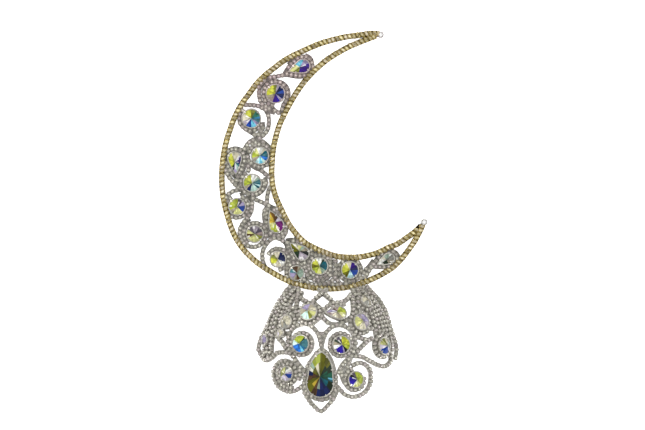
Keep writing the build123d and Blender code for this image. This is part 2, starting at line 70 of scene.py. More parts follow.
hoodMidX, hoodWideY = gridPlace(hood["midColumn"], hood["wideRow"])
hoodReach = (hood["wideRow"] - hood["topRow"] + hood["topMargin"]) * drawing["unit"]
outlineReach = hood["outlineShare"] * hood["width"] / 2


def hoodHalf(rise):
    # half width of the hood's oval outline at a height above its widest row
    share = min(max(rise, 0) / outlineReach, hood["outlineLimit"])
    return hood["width"] / 2 * math.sqrt(1 - share ** 2)


def hoodHeight(x, y):
    # the hood's outer face: an oval outline and a full, rounded profile down to the brow
    rise = max(y - hoodWideY, 0)
    half = hoodHalf(rise)
    share = min(rise / hoodReach, hood["profileLimit"])
    front = hood["bulge"] * (1 - share ** hood["power"]) ** (1 / hood["power"])
    radius = (half ** 2 + front ** 2) / (2 * front)
    across = min(abs(x - hoodMidX), half)
    height = math.sqrt(max(radius ** 2 - across ** 2, 0)) - radius + front
    return max(height, sizes["chainHeight"])


def hoodNormal(x, y):
    reach = hood["slopeStep"]
    slopeX = (hoodHeight(x + reach, y) - hoodHeight(x - reach, y)) / (2 * reach)
    slopeY = (hoodHeight(x, y + reach) - hoodHeight(x, y - reach)) / (2 * reach)
    return Vector((-slopeX, -slopeY, 1)).normalized()


def moonFace(x, y):
    return Vector((x, y, 0)), Vector((0, 0, 1))


def hoodFace(x, y):
    # where the chain's back lies, and the way its cups look
    up = hoodNormal(x, y)
    return Vector((x, y, hoodHeight(x, y))) - up * sizes["chainHeight"], up


# colours of the stones' facets, as seen, red green blue from 0 to 255; white in a stone's wedges is a
# painted highlight
tints = {
    "yellow": (212, 216, 70), "lime": (178, 192, 66), "paleYellow": (220, 222, 146),
    "amber": (118, 84, 26), "gold": (206, 178, 62), "white": (250, 252, 246),
    "cream": (220, 214, 188), "cyan": (120, 210, 238), "paleCyan": (196, 236, 240),
    "mint": (206, 240, 228), "mintGrey": (158, 182, 164), "teal": (20, 96, 110),
    "tealGrey": (72, 128, 138), "tealBlue": (40, 128, 180), "green": (8, 92, 66),
    "seaGreen": (58, 126, 106), "darkGreen": (30, 52, 30), "blue": (34, 72, 164),
    "brightBlue": (46, 120, 214), "navy": (20, 34, 86), "violet": (58, 26, 132),
    "violetBlue": (44, 26, 160), "purple": (112, 18, 110), "lavender": (168, 158, 194),
    "smoke": (92, 84, 98), "greyLilac": (182, 172, 184), "greyRose": (168, 148, 144),
    "lilacWhite": (226, 218, 234), "olive": (104, 104, 20), "moss": (136, 140, 62),
    "brown": (86, 62, 40), "dark": (22, 28, 26), "grey": (150, 150, 142), "tan": (166, 158, 136),
}

# stones: name, column, row, share of the stock size, tip's distance in widths and its direction,
# and the colours round its middle, each up to an angle counter-clockwise from the right
moonStones = [
    ("moon_drop_1", 303.0, 66.0, 0.80, 1.12, 201,
     [(25, "violet"), (62, "lavender"), (150, "cyan"), (212, "paleYellow"), (258, "moss"),
      (360, "violet")]),
    ("moon_round_2", 275.4, 93.6, 1.10, 0, 0,
     [(24, "blue"), (60, "navy"), (80, "greyLilac"), (104, "moss"), (190, "yellow"),
      (222, "tan"), (250, "greyRose"), (282, "violet"), (300, "violetBlue"),
      (322, "lavender"), (360, "navy")]),
    ("moon_round_3", 251.3, 118.5, 1.11, 0, 0,
     [(14, "tealBlue"), (58, "seaGreen"), (94, "moss"), (144, "yellow"), (196, "cream"),
      (232, "greyLilac"), (270, "blue"), (304, "cyan"), (330, "lavender"), (360, "tealGrey")]),
    ("moon_round_4", 260.0, 155.6, 1.00, 0, 0,
     [(20, "tealGrey"), (44, "teal"), (64, "cream"), (114, "white"), (150, "paleYellow"),
      (196, "lime"), (232, "tan"), (262, "paleCyan"), (290, "cyan"), (314, "mint"),
      (346, "brightBlue"), (360, "teal")]),
    ("moon_drop_5", 234.6, 158.5, 0.80, 1.16, 275,
     [(56, "violet"), (110, "cream"), (238, "yellow"), (262, "darkGreen"), (280, "lavender"),
      (304, "mint"), (330, "tealGrey"), (360, "violet")]),
    ("moon_round_6", 252.3, 183.0, 1.05, 0, 0,
     [(26, "tealGrey"), (50, "mintGrey"), (100, "white"), (150, "yellow"), (200, "lime"),
      (226, "tan"), (256, "navy"), (314, "mint"), (332, "teal"), (346, "paleCyan"),
      (360, "teal")]),
    ("moon_round_7", 237.1, 206.7, 0.98, 0, 0,
     [(8, "blue"), (40, "lavender"), (82, "smoke"), (204, "lime"), (240, "tan"),
      (316, "paleYellow"), (360, "blue")]),
    ("moon_round_8", 254.8, 234.0, 1.00, 0, 0,
     [(18, "greyRose"), (58, "smoke"), (110, "greyLilac"), (146, "smoke"), (176, "paleYellow"),
      (212, "brown"), (306, "paleYellow"), (344, "moss"), (360, "greyRose")]),
    ("moon_drop_9", 276.5, 225.4, 0.86, 1.12, 114,
     [(12, "purple"), (60, "lilacWhite"), (92, "brown"), (118, "amber"), (188, "gold"),
      (235, "paleYellow"), (285, "lime"), (298, "cream"), (360, "purple")]),
    ("moon_round_10", 277.9, 259.2, 0.93, 0, 0,
     [(72, "navy"), (128, "cream"), (166, "moss"), (238, "yellow"), (298, "cream"),
      (338, "white"), (360, "navy")]),
    ("moon_drop_11", 302.1, 253.3, 0.82, 1.14, 140,
     [(30, "tan"), (66, "mintGrey"), (112, "paleYellow"), (134, "cream"), (186, "olive"),
      (262, "darkGreen"), (330, "greyLilac"), (360, "dark")]),
    ("moon_round_12", 296.6, 273.0, 0.86, 0, 0,
     [(46, "mintGrey"), (76, "tan"), (132, "brown"), (176, "tealGrey"), (240, "lavender"),
      (268, "tan"), (300, "brown"), (360, "mintGrey")]),
    ("moon_round_13", 319.5, 266.0, 0.98, 0, 0,
     [(48, "teal"), (66, "darkGreen"), (112, "white"), (162, "yellow"), (196, "olive"),
      (250, "lime"), (288, "paleYellow"), (326, "mintGrey"), (360, "teal")]),
    ("moon_round_14", 350.0, 270.0, 1.00, 0, 0,
     [(26, "navy"), (78, "violet"), (118, "cream"), (202, "yellow"), (250, "olive"),
      (300, "paleCyan"), (360, "blue")]),
    ("moon_drop_15", 389.0, 258.4, 0.62, 1.28, 208,
     [(50, "grey"), (130, "mintGrey"), (172, "cream"), (214, "white"), (300, "darkGreen"),
      (360, "tan")]),
]
hoodStones = [
    ("hood_drop_1", 320.2, 382.6, 1.0, 1.18, 87,
     [(20, "green"), (50, "darkGreen"), (90, "olive"), (119, "lime"), (132, "mintGrey"),
      (148, "moss"), (172, "navy"), (196, "brown"), (238, "olive"), (256, "brown"),
      (304, "navy"), (336, "darkGreen"), (344, "teal"), (352, "cyan"), (360, "green")]),
    ("hood_round_2", 301.0, 343.2, 1.03, 0, 0,
     [(44, "tealGrey"), (58, "darkGreen"), (150, "lime"), (192, "mint"), (276, "brightBlue"),
      (300, "cyan"), (322, "tealBlue"), (360, "tealGrey")]),
    ("hood_round_3", 341.2, 344.0, 1.05, 0, 0,
     [(92, "yellow"), (136, "smoke"), (156, "darkGreen"), (184, "tan"), (216, "white"),
      (282, "violetBlue"), (296, "lavender"), (322, "dark"), (360, "lime")]),
    ("hood_round_4", 287.0, 373.2, 0.86, 0, 0,
     [(22, "lavender"), (62, "white"), (94, "grey"), (158, "paleYellow"), (206, "moss"),
      (306, "lilacWhite"), (360, "blue")]),
    ("hood_round_5", 355.4, 378.6, 0.95, 0, 0,
     [(102, "lime"), (132, "smoke"), (160, "dark"), (238, "violetBlue"), (246, "white"),
      (316, "paleYellow"), (360, "lime")]),
    ("hood_round_6", 308.7, 311.8, 1.02, 0, 0,
     [(58, "cream"), (84, "tan"), (152, "lavender"), (206, "tan"), (282, "mint"),
      (318, "moss"), (360, "paleYellow")]),
    ("hood_drop_7", 339.4, 312.8, 0.80, 1.06, 178,
     [(64, "lime"), (112, "greyRose"), (138, "brown"), (178, "lavender"), (204, "greyRose"),
      (272, "cream"), (320, "tan"), (360, "paleYellow")]),
    ("hood_round_8", 361.0, 321.6, 1.00, 0, 0,
     [(82, "lavender"), (128, "greyLilac"), (226, "paleYellow"), (300, "cream"),
      (360, "greyLilac")]),
    ("hood_round_9", 286.5, 321.6, 0.78, 0, 0,
     [(128, "cream"), (250, "tan"), (310, "grey"), (360, "cream")]),
    ("hood_round_10", 281.2, 332.8, 0.45, 0, 0,
     [(160, "cream"), (250, "lilacWhite"), (360, "cream")]),
    ("hood_round_11", 265.2, 339.8, 0.60, 0, 0,
     [(150, "lavender"), (230, "greyLilac"), (300, "smoke"), (360, "lavender")]),
    ("hood_round_12", 383.8, 345.6, 1.00, 0, 0,
     [(46, "mintGrey"), (92, "cream"), (124, "moss"), (168, "paleYellow"), (208, "lilacWhite"),
      (306, "blue"), (334, "lilacWhite"), (360, "mintGrey")]),
    ("hood_round_13", 365.8, 301.8, 0.68, 0, 0,
     [(70, "tan"), (190, "cream"), (280, "grey"), (360, "tan")]),
]

# colours nearer the middle, for the stone that shows its own there
coreWedges = {
    "hood_drop_1": [(40, "green"), (66, "darkGreen"), (97, "olive"), (115, "cream"), (152, "olive"),
                    (190, "brown"), (220, "olive"), (238, "gold"), (254, "brown"),
                    (268, "mintGrey"), (300, "navy"), (336, "teal"), (360, "green")],
}

# chain rings round the stones: stone number, start and end in degrees
moonRings = [
    (2, -26, 266), (3, 128, 338), (4, -150, 170), (6, 118, 382), (7, 118, 430),
    (8, -60, 235), (10, -88, 158), (12, 0, 330), (13, 10, 190), (13, 185, 372),
    (14, 96, 280), (14, 275, 458),
]
hoodRings = [
    (2, 0, 182), (2, 180, 362), (3, 0, 182), (3, 180, 362), (4, 0, 182), (4, 180, 362),
    (5, 100, 375), (6, 0, 182), (6, 180, 362), (8, 0, 182), (8, 180, 362),
    (9, -40, 215), (11, 30, 150), (12, 90, 265), (12, 260, 430), (13, 0, 182),
    (13, 180, 362),
]

# chain routes, grid columns and rows
rimRoutes = [
    [(381, 34.6), (372, 33.4), (360, 35), (346, 36.8), (332, 40), (318.7, 44.1), (305.6, 49.6),
     (292.6, 55.7), (283.2, 61.1), (274.6, 67.6), (265.3, 74.9), (256.5, 83.7), (249.3, 93.4),
     (243.1, 101.8), (237.9, 110.3), (233.7, 119.3), (230.5, 128.4), (226.7, 140), (224.2, 151),
     (222.2, 166), (221.8, 182), (223, 196), (225.6, 209), (228.4, 219), (232, 229.7), (237, 240),
     (244, 250), (252.3, 258.4), (261, 265.4), (269.8, 271), (279, 276.3), (291, 281.9),
     (309, 286.9), (330, 288.8), (348, 287), (360, 283.6), (371.4, 279.4), (381.6, 274.4),
     (391, 268.8), (399.2, 261.4), (406.2, 253), (411, 246.4), (414.8, 240.8), (419, 233),
     (423, 224.5)],
    [(376, 35.8), (362, 41.2), (349, 46.7), (338, 52.6), (327, 59.7), (319, 66.4), (311, 74),
     (304, 82), (297.6, 90.8), (291.4, 101), (285.4, 112), (279.8, 124), (276, 136), (273.4, 148),
     (272.2, 160), (271.6, 172), (272.6, 185), (275.8, 197), (280.2, 207), (285, 217),
     (290.4, 226.4), (297, 234.8), (305, 242.6), (314.6, 248), (325, 252.4), (335, 255.8),
     (348, 257.4), (361, 256.8), (376, 253.4), (388, 247.8), (398, 243.6), (408, 236.8),
     (416, 230.8), (421, 225.6)],
]
moonRoutes = [
    [(305, 55), (310, 57.5), (312, 62), (311, 66.5), (309, 71)],
    [(309.5, 73), (303, 76.3), (296, 76.6), (289, 75.4), (283, 75.2), (276, 76.6), (268, 78)],
    [(284, 74.5), (287.4, 68.6), (292, 63.4), (298, 59.6)],
    [(288.6, 64.6), (292, 60), (297, 57)],
    [(270, 77.6), (264, 80.4), (259.6, 85), (257.4, 89)],
    [(276, 80.2), (267.4, 80.6), (261.4, 85.6), (259, 92), (259.8, 99.4), (263.8, 105.4),
     (271, 109.4)],
    [(276, 80.8), (283, 83), (287.4, 88), (288.6, 94), (287, 99), (283.6, 104.5), (281.5, 111)],
    [(271, 106), (274, 109.5), (279, 112.6), (284, 112.4)],
    [(244, 105), (251, 104.8), (257, 105.6), (262, 107.6), (266, 110), (270, 111.5), (275, 113)],
    [(265.4, 110), (268.4, 116), (268.8, 124), (267, 131), (262.4, 135.8), (258, 139.4)],
    [(262.6, 122), (263, 128), (259.4, 133), (256.8, 140)],
    [(250.6, 145.4), (256, 142.4), (261, 143.4)],
    [(245, 128.6), (250, 132), (254, 134.4), (258, 137), (264, 133)],
    [(259, 138), (251, 140.6), (246, 146), (244.2, 152), (245, 160), (244.4, 167), (241.4, 174),
     (240.6, 181), (242, 188), (246.6, 194)],
    [(258, 139.4), (264.5, 142.6), (269, 147), (271, 152)],
    [(248.4, 146), (247.6, 156), (250, 163.5), (255, 168), (261, 170.4), (265.5, 174), (270.5, 178)],
    [(244.6, 160), (247, 164.5), (249, 168.6), (247.4, 172.4)],
    [(225.6, 152.4), (230.4, 149.4), (235.6, 148.2), (240.4, 149.6), (244.2, 153.4)],
    [(224.5, 164), (226, 171), (229.3, 177), (233.7, 182.5), (239.6, 189)],
    [(241.4, 170), (238.6, 176), (236.4, 181), (238.6, 186), (241.6, 190)],
    [(265, 177), (266, 183.5), (263, 190), (257.4, 194.6), (251, 195)],
    [(246.6, 193), (241, 190), (234, 191), (228.4, 194.6), (224.6, 199)],
    [(247.4, 194.6), (253, 198), (260.4, 201.7), (267, 204.6), (274, 208), (279, 209)],
    [(246.4, 195), (251, 200), (252.2, 207), (250.2, 214), (246, 219.4), (242.4, 224),
     (240, 229.4), (240, 235.6), (242.4, 241.4), (247, 245.4), (253, 247.2), (259, 245.6),
     (264, 241.4)],
    [(270.5, 186), (268, 192), (267.2, 198), (267, 204)],
    [(241, 192.4), (243, 197), (246, 201)],
    [(250, 218.6), (246, 222.4), (243, 227), (242.4, 233)],
    [(268, 205), (264.6, 211), (264, 218), (265.6, 225), (267.4, 231), (268.4, 238)],
    [(267.4, 231), (271, 235.4), (277, 238), (283.2, 236.4), (286.2, 231), (286, 223)],
    [(276, 237.6), (271, 239.4), (267, 243.6), (263.6, 249), (262.2, 255), (263, 262), (266, 268)],
    [(277, 237.6), (282.6, 240.6), (286.4, 245), (287.4, 251), (290.4, 256.6), (296, 260.4),
     (303, 261.6)],
    [(286, 240.6), (292, 239.6), (299, 241.8), (305.6, 245)],
    [(294, 237.4), (297.8, 239), (302, 242)],
    [(308.6, 247.4), (313.4, 251.2), (319, 254.6), (325, 257.2)],
    [(312, 252), (312.4, 258), (309, 262)],
    [(287, 251), (289.4, 258), (287.6, 266), (284.6, 270.5)],
    [(290, 262), (298, 261.6), (304, 264.8), (307.2, 271), (306.4, 278.6), (302.6, 283.8)],
    [(309.4, 268), (310.2, 274), (309.4, 280)],
    [(286.4, 268), (286.6, 276), (290, 280.4)],
    [(309.6, 275.4), (313.6, 279.2), (320, 280.6), (327, 278.6), (331, 273.4)],
    [(305.6, 281.4), (312, 284.2), (320, 284.8), (328, 283.2), (334, 279)],
    [(330, 257), (331.4, 263), (330.8, 270), (332, 274), (337, 280), (342, 285.4)],
    [(335, 259), (335.8, 265), (335.4, 272), (339, 279)],
    [(322, 285.4), (333, 284.6), (345, 284.2), (357, 282)],
    [(359, 278), (364.6, 277.6), (367.8, 272.4), (371.4, 267), (375.2, 261.2), (379, 255.4)],
    [(363, 275), (365.8, 270), (369.8, 265), (373.6, 260)],
    [(372.6, 266.6), (379, 267.2), (386, 266.6), (392, 264.4), (397, 261)],
    [(386.6, 268.8), (391.6, 265.6), (396.4, 261.6), (399.6, 256.6)],
    [(391, 250.4), (396, 252.6), (398.4, 257), (397, 261)],
]
hoodRoutes = [
    [(291, 285.6), (285.4, 291.4), (278.8, 298.4), (274.4, 304.8), (270.8, 312), (267.6, 319.4),
     (264.2, 327), (261, 335), (259, 343), (258.4, 351), (260.4, 357.4), (265, 360.2),
     (270.4, 357.2), (275, 353), (282, 351.6), (291, 353)],
    [(268.8, 350), (268.6, 354), (266, 357.4)],
    [(263.4, 350), (263.8, 356)],
    [(298.2, 286), (297.6, 292), (296, 300), (295.4, 308), (295.4, 315), (297, 320.4)],
    [(298.4, 289.6), (300, 295.6), (304.4, 299.2), (310.4, 299.8), (315.4, 298)],
    [(290, 325.4), (286.2, 330), (285.4, 335)],
    [(274.6, 327), (275, 333.4), (277.6, 338), (281.4, 342.2), (284.6, 347.6), (287, 352)],
    [(291, 354), (287.9, 347), (287.2, 338.6), (288.8, 331.4), (293, 326.2), (299, 323.6),
     (305.6, 322.8), (312.4, 326.2), (317, 331.8), (319.8, 338.6), (321.4, 346)],
    [(321.4, 346), (323.4, 338), (326.6, 331), (332.4, 325.8), (340.4, 324), (349, 327.2),
     (354.3, 333.6), (356.2, 341.2), (354.6, 349), (351.4, 357)],
    [(321.6, 330.6), (321.5, 339), (321.6, 349)],
    [(309.5, 325), (313.4, 321.4), (318, 317.6), (321.5, 314.4), (321.5, 311), (320.4, 306.6),
     (317, 303.4), (313.6, 300.4)],
    [(329.4, 322.6), (324.6, 318.4), (321.6, 314.4), (321.5, 311), (325, 306.8), (332, 301.6),
     (340, 300.8), (346.8, 298), (351.6, 292.4)],
    [(324.6, 318.4), (331, 322.4), (338.4, 322.6), (346, 319.6), (351, 315.6)],
    [(329.6, 309.6), (334, 305.6), (339.4, 303.6), (346, 302)],
    [(329.6, 313), (332.8, 317), (338, 319.4), (345, 317.6)],
    [(353, 289.8), (357, 296), (358.6, 304), (358, 311), (356, 315.6)],
    [(351.6, 290), (353, 297), (353.8, 304), (353.6, 311), (351.6, 317)],
    [(357, 287), (359.6, 292.4), (358.8, 299)],
    [(326.6, 287.4), (322.8, 290.4), (318.6, 293.6), (314.6, 296.8), (311.6, 299.4)],
    [(319, 287.4), (322.8, 290.4), (327.6, 294.8), (332, 298.6), (335, 301)],
    [(366, 285.6), (371.4, 291.4), (377.4, 298), (382.2, 305), (386.2, 312.4), (389.4, 320),
     (392, 328), (394.2, 336), (395.8, 344), (396.4, 352), (396, 360)],
    [(391.8, 350), (392.6, 355), (392.8, 360.4), (389.8, 364.4), (385, 366.2), (379.4, 364.8),
     (371.7, 360.9), (364, 356.6), (354.5, 355.4)],
    [(354.5, 355.4), (359.4, 349.4), (364.3, 344.3), (369, 340.2), (374, 337)],
    [(357, 335), (362, 337.6), (367.6, 339), (374, 338.6)],
    [(350.4, 357), (344.4, 361.8), (340.6, 367.4), (338, 373.6)],
    [(352, 357), (349, 364), (345.6, 370), (344.4, 376)],
    [(343.4, 365), (341.6, 371), (342.6, 377), (345.4, 383)],
    [(352.6, 365.6), (357, 362.9), (362, 362.4), (367.4, 364.8), (371, 369.6), (372.2, 376),
     (371.2, 383.6), (367.6, 389.8), (362, 394), (355, 396), (348, 394.8), (342.4, 391.2),
     (338, 385.4)],
    [(291, 354), (295.4, 360.6), (300, 366.4), (304.6, 371)],
    [(296.4, 364), (299.2, 369), (299.6, 374.6), (297.4, 380)],
    [(293, 364), (286.6, 360.6), (279.6, 361), (274.4, 365.4), (271.9, 371.6), (273, 379),
     (277, 385.8), (283, 389.8), (290, 391), (296.6, 388.8), (302, 384.6)],
    [(284, 363.6), (279, 366.8), (276.6, 372.2), (277.4, 378.6), (280.6, 384), (286, 387),
     (292.4, 387)],
    [(321.6, 349), (317.6, 351.2), (313.8, 355.4), (310.4, 360), (307.8, 365), (305.6, 370.4),
     (304.2, 377), (304, 384), (307, 391.4), (313.4, 397), (321, 399)],
    [(320, 399), (328.4, 397), (334, 391.4), (336, 384), (335.8, 377), (334.8, 371), (333.4, 365),
     (331.2, 359), (328, 353.8), (324.8, 350.4), (321.6, 349)],
    [(302.4, 386), (304.4, 392.6), (308.6, 399.4), (314, 405.4), (321, 410.2), (327.4, 404.6),
     (332.6, 399), (336.8, 391.6), (337.6, 384)],
]

# dense rows beside the hood's outline: side, share of the half width, first and last grid row
hoodRows = [
    (-1, 0.93, 285.6, 334), (-1, 0.93, 344, 357), (-1, 0.88, 296, 358), (-1, 0.83, 285.6, 354),
    (-1, 0.775, 302, 337), (-1, 0.72, 291, 333), (-1, 0.665, 304, 332), (-1, 0.61, 290, 326),
    (-1, 0.555, 306, 320), (1, 0.95, 285.6, 356), (1, 0.905, 296, 336), (1, 0.855, 285.6, 336),
    (1, 0.80, 302, 336), (1, 0.745, 285.6, 336), (1, 0.69, 308, 330), (1, 0.645, 285.6, 300),
]


def outlineRow(side, share, first, last):
    # grid points of a row that keeps a share of the hood's half width
    count = 6
    points = []
    for index in range(count + 1):
        row = first + (last - first) * index / count
        half = hoodHalf((hood["wideRow"] - row) * drawing["unit"])
        points.append((hood["midColumn"] + side * share * half / drawing["unit"], row))
    return points


hoodRoutes += [outlineRow(*row) for row in hoodRows]


# shapes: plain lists of points and faces, gathered into one mesh for each piece

def emptyShape():
    return {"points": [], "faces": [], "rise": [], "tone": []}


def closedShape(points, faces):
    # turns every face outwards, and notes how high each point stands in its own shape
    mesh = bmesh.new()
    corners = [mesh.verts.new(point) for point in points]
    for face in faces:
        mesh.faces.new([corners[index] for index in face])
    bmesh.ops.recalc_face_normals(mesh, faces=mesh.faces)
    mesh.verts.index_update()
    turned = [[corner.index for corner in face.verts] for face in mesh.faces]
    mesh.free()
    return {"points": [Vector(point) for point in points], "faces": turned,
            "rise": [point[2] for point in points]}


def addShape(target, shape, place, tone=0.5, rise=None):
    first = len(target["points"])
    target["points"].extend(place @ point for point in shape["points"])
    target["faces"].extend([first + index for index in face] for face in shape["faces"])
    target["rise"].extend(shape["rise"] if rise is None else [rise] * len(shape["points"]))
    target["tone"].extend([tone] * len(shape["points"]))


def loftLoops(loops, closed=False):
    # skin over loops of equally many points, with both ends filled or joined to each other
    count = len(loops[0])
    points = [point for loop in loops for point in loop]
    faces = []
    for level in range(len(loops) if closed else len(loops) - 1):
        low, high = level * count, (level + 1) % len(loops) * count
        for index in range(count):
            following = (index + 1) % count
            faces.append([low + index, low + following, high + following, high + index])
    if not closed:
        faces += [list(range(count)), list(range(len(points) - count, len(points)))]
    return closedShape(points, faces)


def squareLathe(profile, sides, fullness):
    # turned shape whose loops are rounded squares, fuller in the corners as fullness grows
    corners = []
    for index in range(sides):
        turn = 2 * math.pi * (index + 0.5) / sides
        x, y = math.cos(turn), math.sin(turn)
        reach = (abs(x) ** fullness + abs(y) ** fullness) ** (-1 / fullness)
        corners.append((x * reach, y * reach))
    return loftLoops([[(radius * x, radius * y, height) for x, y in corners]
                      for radius, height in profile])


def claw(stations):
    # bent finger that runs along X and Z: distance out, height, half width, half thickness
    innerShare = 0.8
    loops = []
    for index, (out, height, halfWidth, halfThick) in enumerate(stations):
        before, after = stations[max(index - 1, 0)], stations[min(index + 1, len(stations) - 1)]
        run = Vector((after[0] - before[0], 0, after[1] - before[1])).normalized()
        thick = Vector((run.z, 0, -run.x)) * halfThick
        middle = Vector((out, 0, height))
        side = Vector((0, halfWidth, 0))
        loops.append([middle + thick - side, middle + thick + side,
                      middle - thick + side * innerShare, middle - thick - side * innerShare])
    return loftLoops(loops)


def addObject(name, data):
    thing = bpy.data.objects.new(name, data)
    bpy.context.scene.collection.objects.link(thing)
    return thing


def makePiece(name, shape, material, sharp=40):
    mesh = bpy.data.meshes.new(name)
    mesh.from_pydata(shape["points"], [], shape["faces"])
    for label in ("rise", "tone"):
        values = mesh.attributes.new(label, "FLOAT", "POINT")
        values.data.foreach_set("value", shape[label])
    mesh.shade_smooth()
    mesh.set_sharp_from_angle(angle=math.radians(sharp))
    mesh.materials.append(material)
    piece = addObject(name, mesh)
    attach(piece, "root")
    print("piece", name, sum(len(face) - 2 for face in shape["faces"]), "triangles")
    return piece


# materials

def linear(name):
    # a screen colour as the light it stands for
    return [((part / 255 + 0.055) / 1.055) ** 2.4 if part > 10 else part / 3295
            for part in tints[name]] + [1]


def fill(tree, node, inputs):
    # sets inputs by their names or places, with a link where the value is a socket
    for label, value in inputs.items():
        if isinstance(value, bpy.types.NodeSocket):
            tree.links.new(value, node.inputs[label])
        else:
            node.inputs[label].default_value = value


def newNode(tree, kind, inputs=None, **values):
    node = tree.nodes.new("ShaderNode" + kind)
    for label, value in values.items():
        setattr(node, label, value)
    fill(tree, node, inputs or {})
    return node


def newGroup(name, inputs, outputs):
    group = bpy.data.node_groups.new(name, "ShaderNodeTree")
    for way, sockets in (("INPUT", inputs), ("OUTPUT", outputs)):
        for label, kind in sockets.items():
            group.interface.new_socket(label, in_out=way, socket_type="NodeSocket" + kind)
    return group, group.nodes.new("NodeGroupInput").outputs, group.nodes.new("NodeGroupOutput")


def mathNode(tree, operation, *values):
    return newNode(tree, "Math", dict(enumerate(values)), operation=operation).outputs[0]


def mixColours(tree, share, first, second, blend="MIX"):
    return newNode(tree, "Mix", {0: share, 6: first, 7: second}, data_type="RGBA",
                   blend_type=blend).outputs[2]


def rangeNode(tree, value, low, high, newLow=0.0, newHigh=1.0):
    inputs = dict(enumerate((value, low, high, newLow, newHigh)))
    return newNode(tree, "MapRange", inputs).outputs[0]


def noiseNode(tree, scale, detail):
    place = newNode(tree, "TexCoord").outputs["Object"]
    inputs = {"Scale": scale, "Detail": detail, "Vector": place}
    return newNode(tree, "TexNoise", inputs).outputs["Fac"]


def chanceNode(tree, seed):
    return newNode(tree, "TexWhiteNoise", {"W": seed}, noise_dimensions="1D").outputs["Value"]


def attributeNode(tree, name):
    return newNode(tree, "Attribute", attribute_name=name, attribute_type="GEOMETRY").outputs["Fac"]


def splitNode(tree, vector):
    return newNode(tree, "SeparateXYZ", {0: vector}).outputs


# a noise is its scale and detail; a range is its low and high, which become 0 and 1 or else
# the two values that follow
plating = {"riseRange": (0.12, 0.8), "patchNoise": (160.0, 2.0), "patchRange": (0.42, 0.66),
           "grimeNoise": (900.0, 3.0), "grimeRange": (0.3, 0.7, 0.72, 1.08),
           "scratchNoise": (2600.0, 4.0), "roughRange": (0.3, 0.75, 0.16, 0.4),
           "bump": 0.25, "bumpDepth": 0.02 * mm}


def buildPlatingGroup():
    # plated metal: bright on the rims and prongs, with painted shade that darkens it down between the
    # cups and low on its walls
    group, given, result = newGroup(
        "platedMetal", {"Bright": "Color", "PaintedShade": "Color", "Blush": "Color", "Depth": "Float"},
        {"Colour": "Color", "Roughness": "Float", "Height": "Float"})
    # painted shade: where the rise is low the colour goes towards the painted shade colour, in the
    # recesses and between the cups
    low = rangeNode(group, attributeNode(group, "rise"), *plating["riseRange"])
    unshadedShare = mathNode(group, "POWER", low, given["Depth"])
    base = mixColours(group, unshadedShare, given["PaintedShade"], given["Bright"])
    patches = rangeNode(group, noiseNode(group, *plating["patchNoise"]), *plating["patchRange"])
    blush = mathNode(group, "MULTIPLY", patches, attributeNode(group, "tone"))
    blushed = mixColours(group, blush, base, given["Blush"])
    grime = rangeNode(group, noiseNode(group, *plating["grimeNoise"]), *plating["grimeRange"])
    scratches = noiseNode(group, *plating["scratchNoise"])
    fill(group, result, {
        "Colour": mixColours(group, 1.0, blushed, grime, "MULTIPLY"),
        "Roughness": rangeNode(group, scratches, *plating["roughRange"]),
        "Height": scratches})
    return group


crystal = {"castRange": (0.35, 0.95), "sectorsPerRadian": 1.27, "seedStep": 91.0,
           "lowRange": (0.85, 0.6), "lowShade": 0.6, "wornNoise": (1500.0, 2.0),
           "roughRange": (0.3, 0.7, 0.06, 0.2)}


def buildCrystalGroup():
    # small crystals: pale, each with its own cast; every facet painted brighter or darker by chance as
    # painted sparkle, and painted shade low down on each crystal
    group, given, result = newGroup(
        "smallCrystals", {"Pale": "Color", "Cast": "Color", "Shade": "Color", "Spread": "Float"},
        {"Colour": "Color", "Roughness": "Float"})
    tone = attributeNode(group, "tone")
    cast = rangeNode(group, tone, *crystal["castRange"])
    pale = mixColours(group, cast, given["Pale"], given["Cast"])
    normal = splitNode(group, newNode(group, "NewGeometry").outputs["True Normal"])
    # painted sparkle: each facet's direction and the crystal's tone pick how far it is painted towards
    # the shade colour
    turn = mathNode(group, "ARCTAN2", normal["Y"], normal["X"])
    sector = mathNode(group, "FLOOR", mathNode(group, "MULTIPLY", turn, crystal["sectorsPerRadian"]))
    seed = mathNode(group, "MULTIPLY", tone, crystal["seedStep"])
    chance = chanceNode(group, mathNode(group, "ADD", sector, seed))
    sparkledFacets = mixColours(group, mathNode(group, "MULTIPLY", chance, given["Spread"]), pale,
                        given["Shade"])
    # painted shade towards each crystal's foot
    depth = rangeNode(group, attributeNode(group, "rise"), *crystal["lowRange"])
    low = mathNode(group, "MULTIPLY", depth, crystal["lowShade"])
    worn = noiseNode(group, *crystal["wornNoise"])
    fill(group, result, {"Colour": mixColours(group, low, sparkledFacets, given["Shade"]),
                         "Roughness": rangeNode(group, worn, *crystal["roughRange"])})
    return group


aurora = {"sectors": 24, "ringReach": 0.66, "ringSeed": 31.7, "acrossSeed": 1000,
          "placeSeed": 900, "paintedReflectionRange": (0.0, 1.0, 0.50, 1.04),
          "paintedCrownLightRange": (-0.9, 0.9, 1.16, 0.8), "glintAbove": 0.97, "glintShare": 0.6,
          "coreReach": 0.62, "heartRange": (0.40, 0.24), "heartShare": 0.5, "backBelow": -0.05}


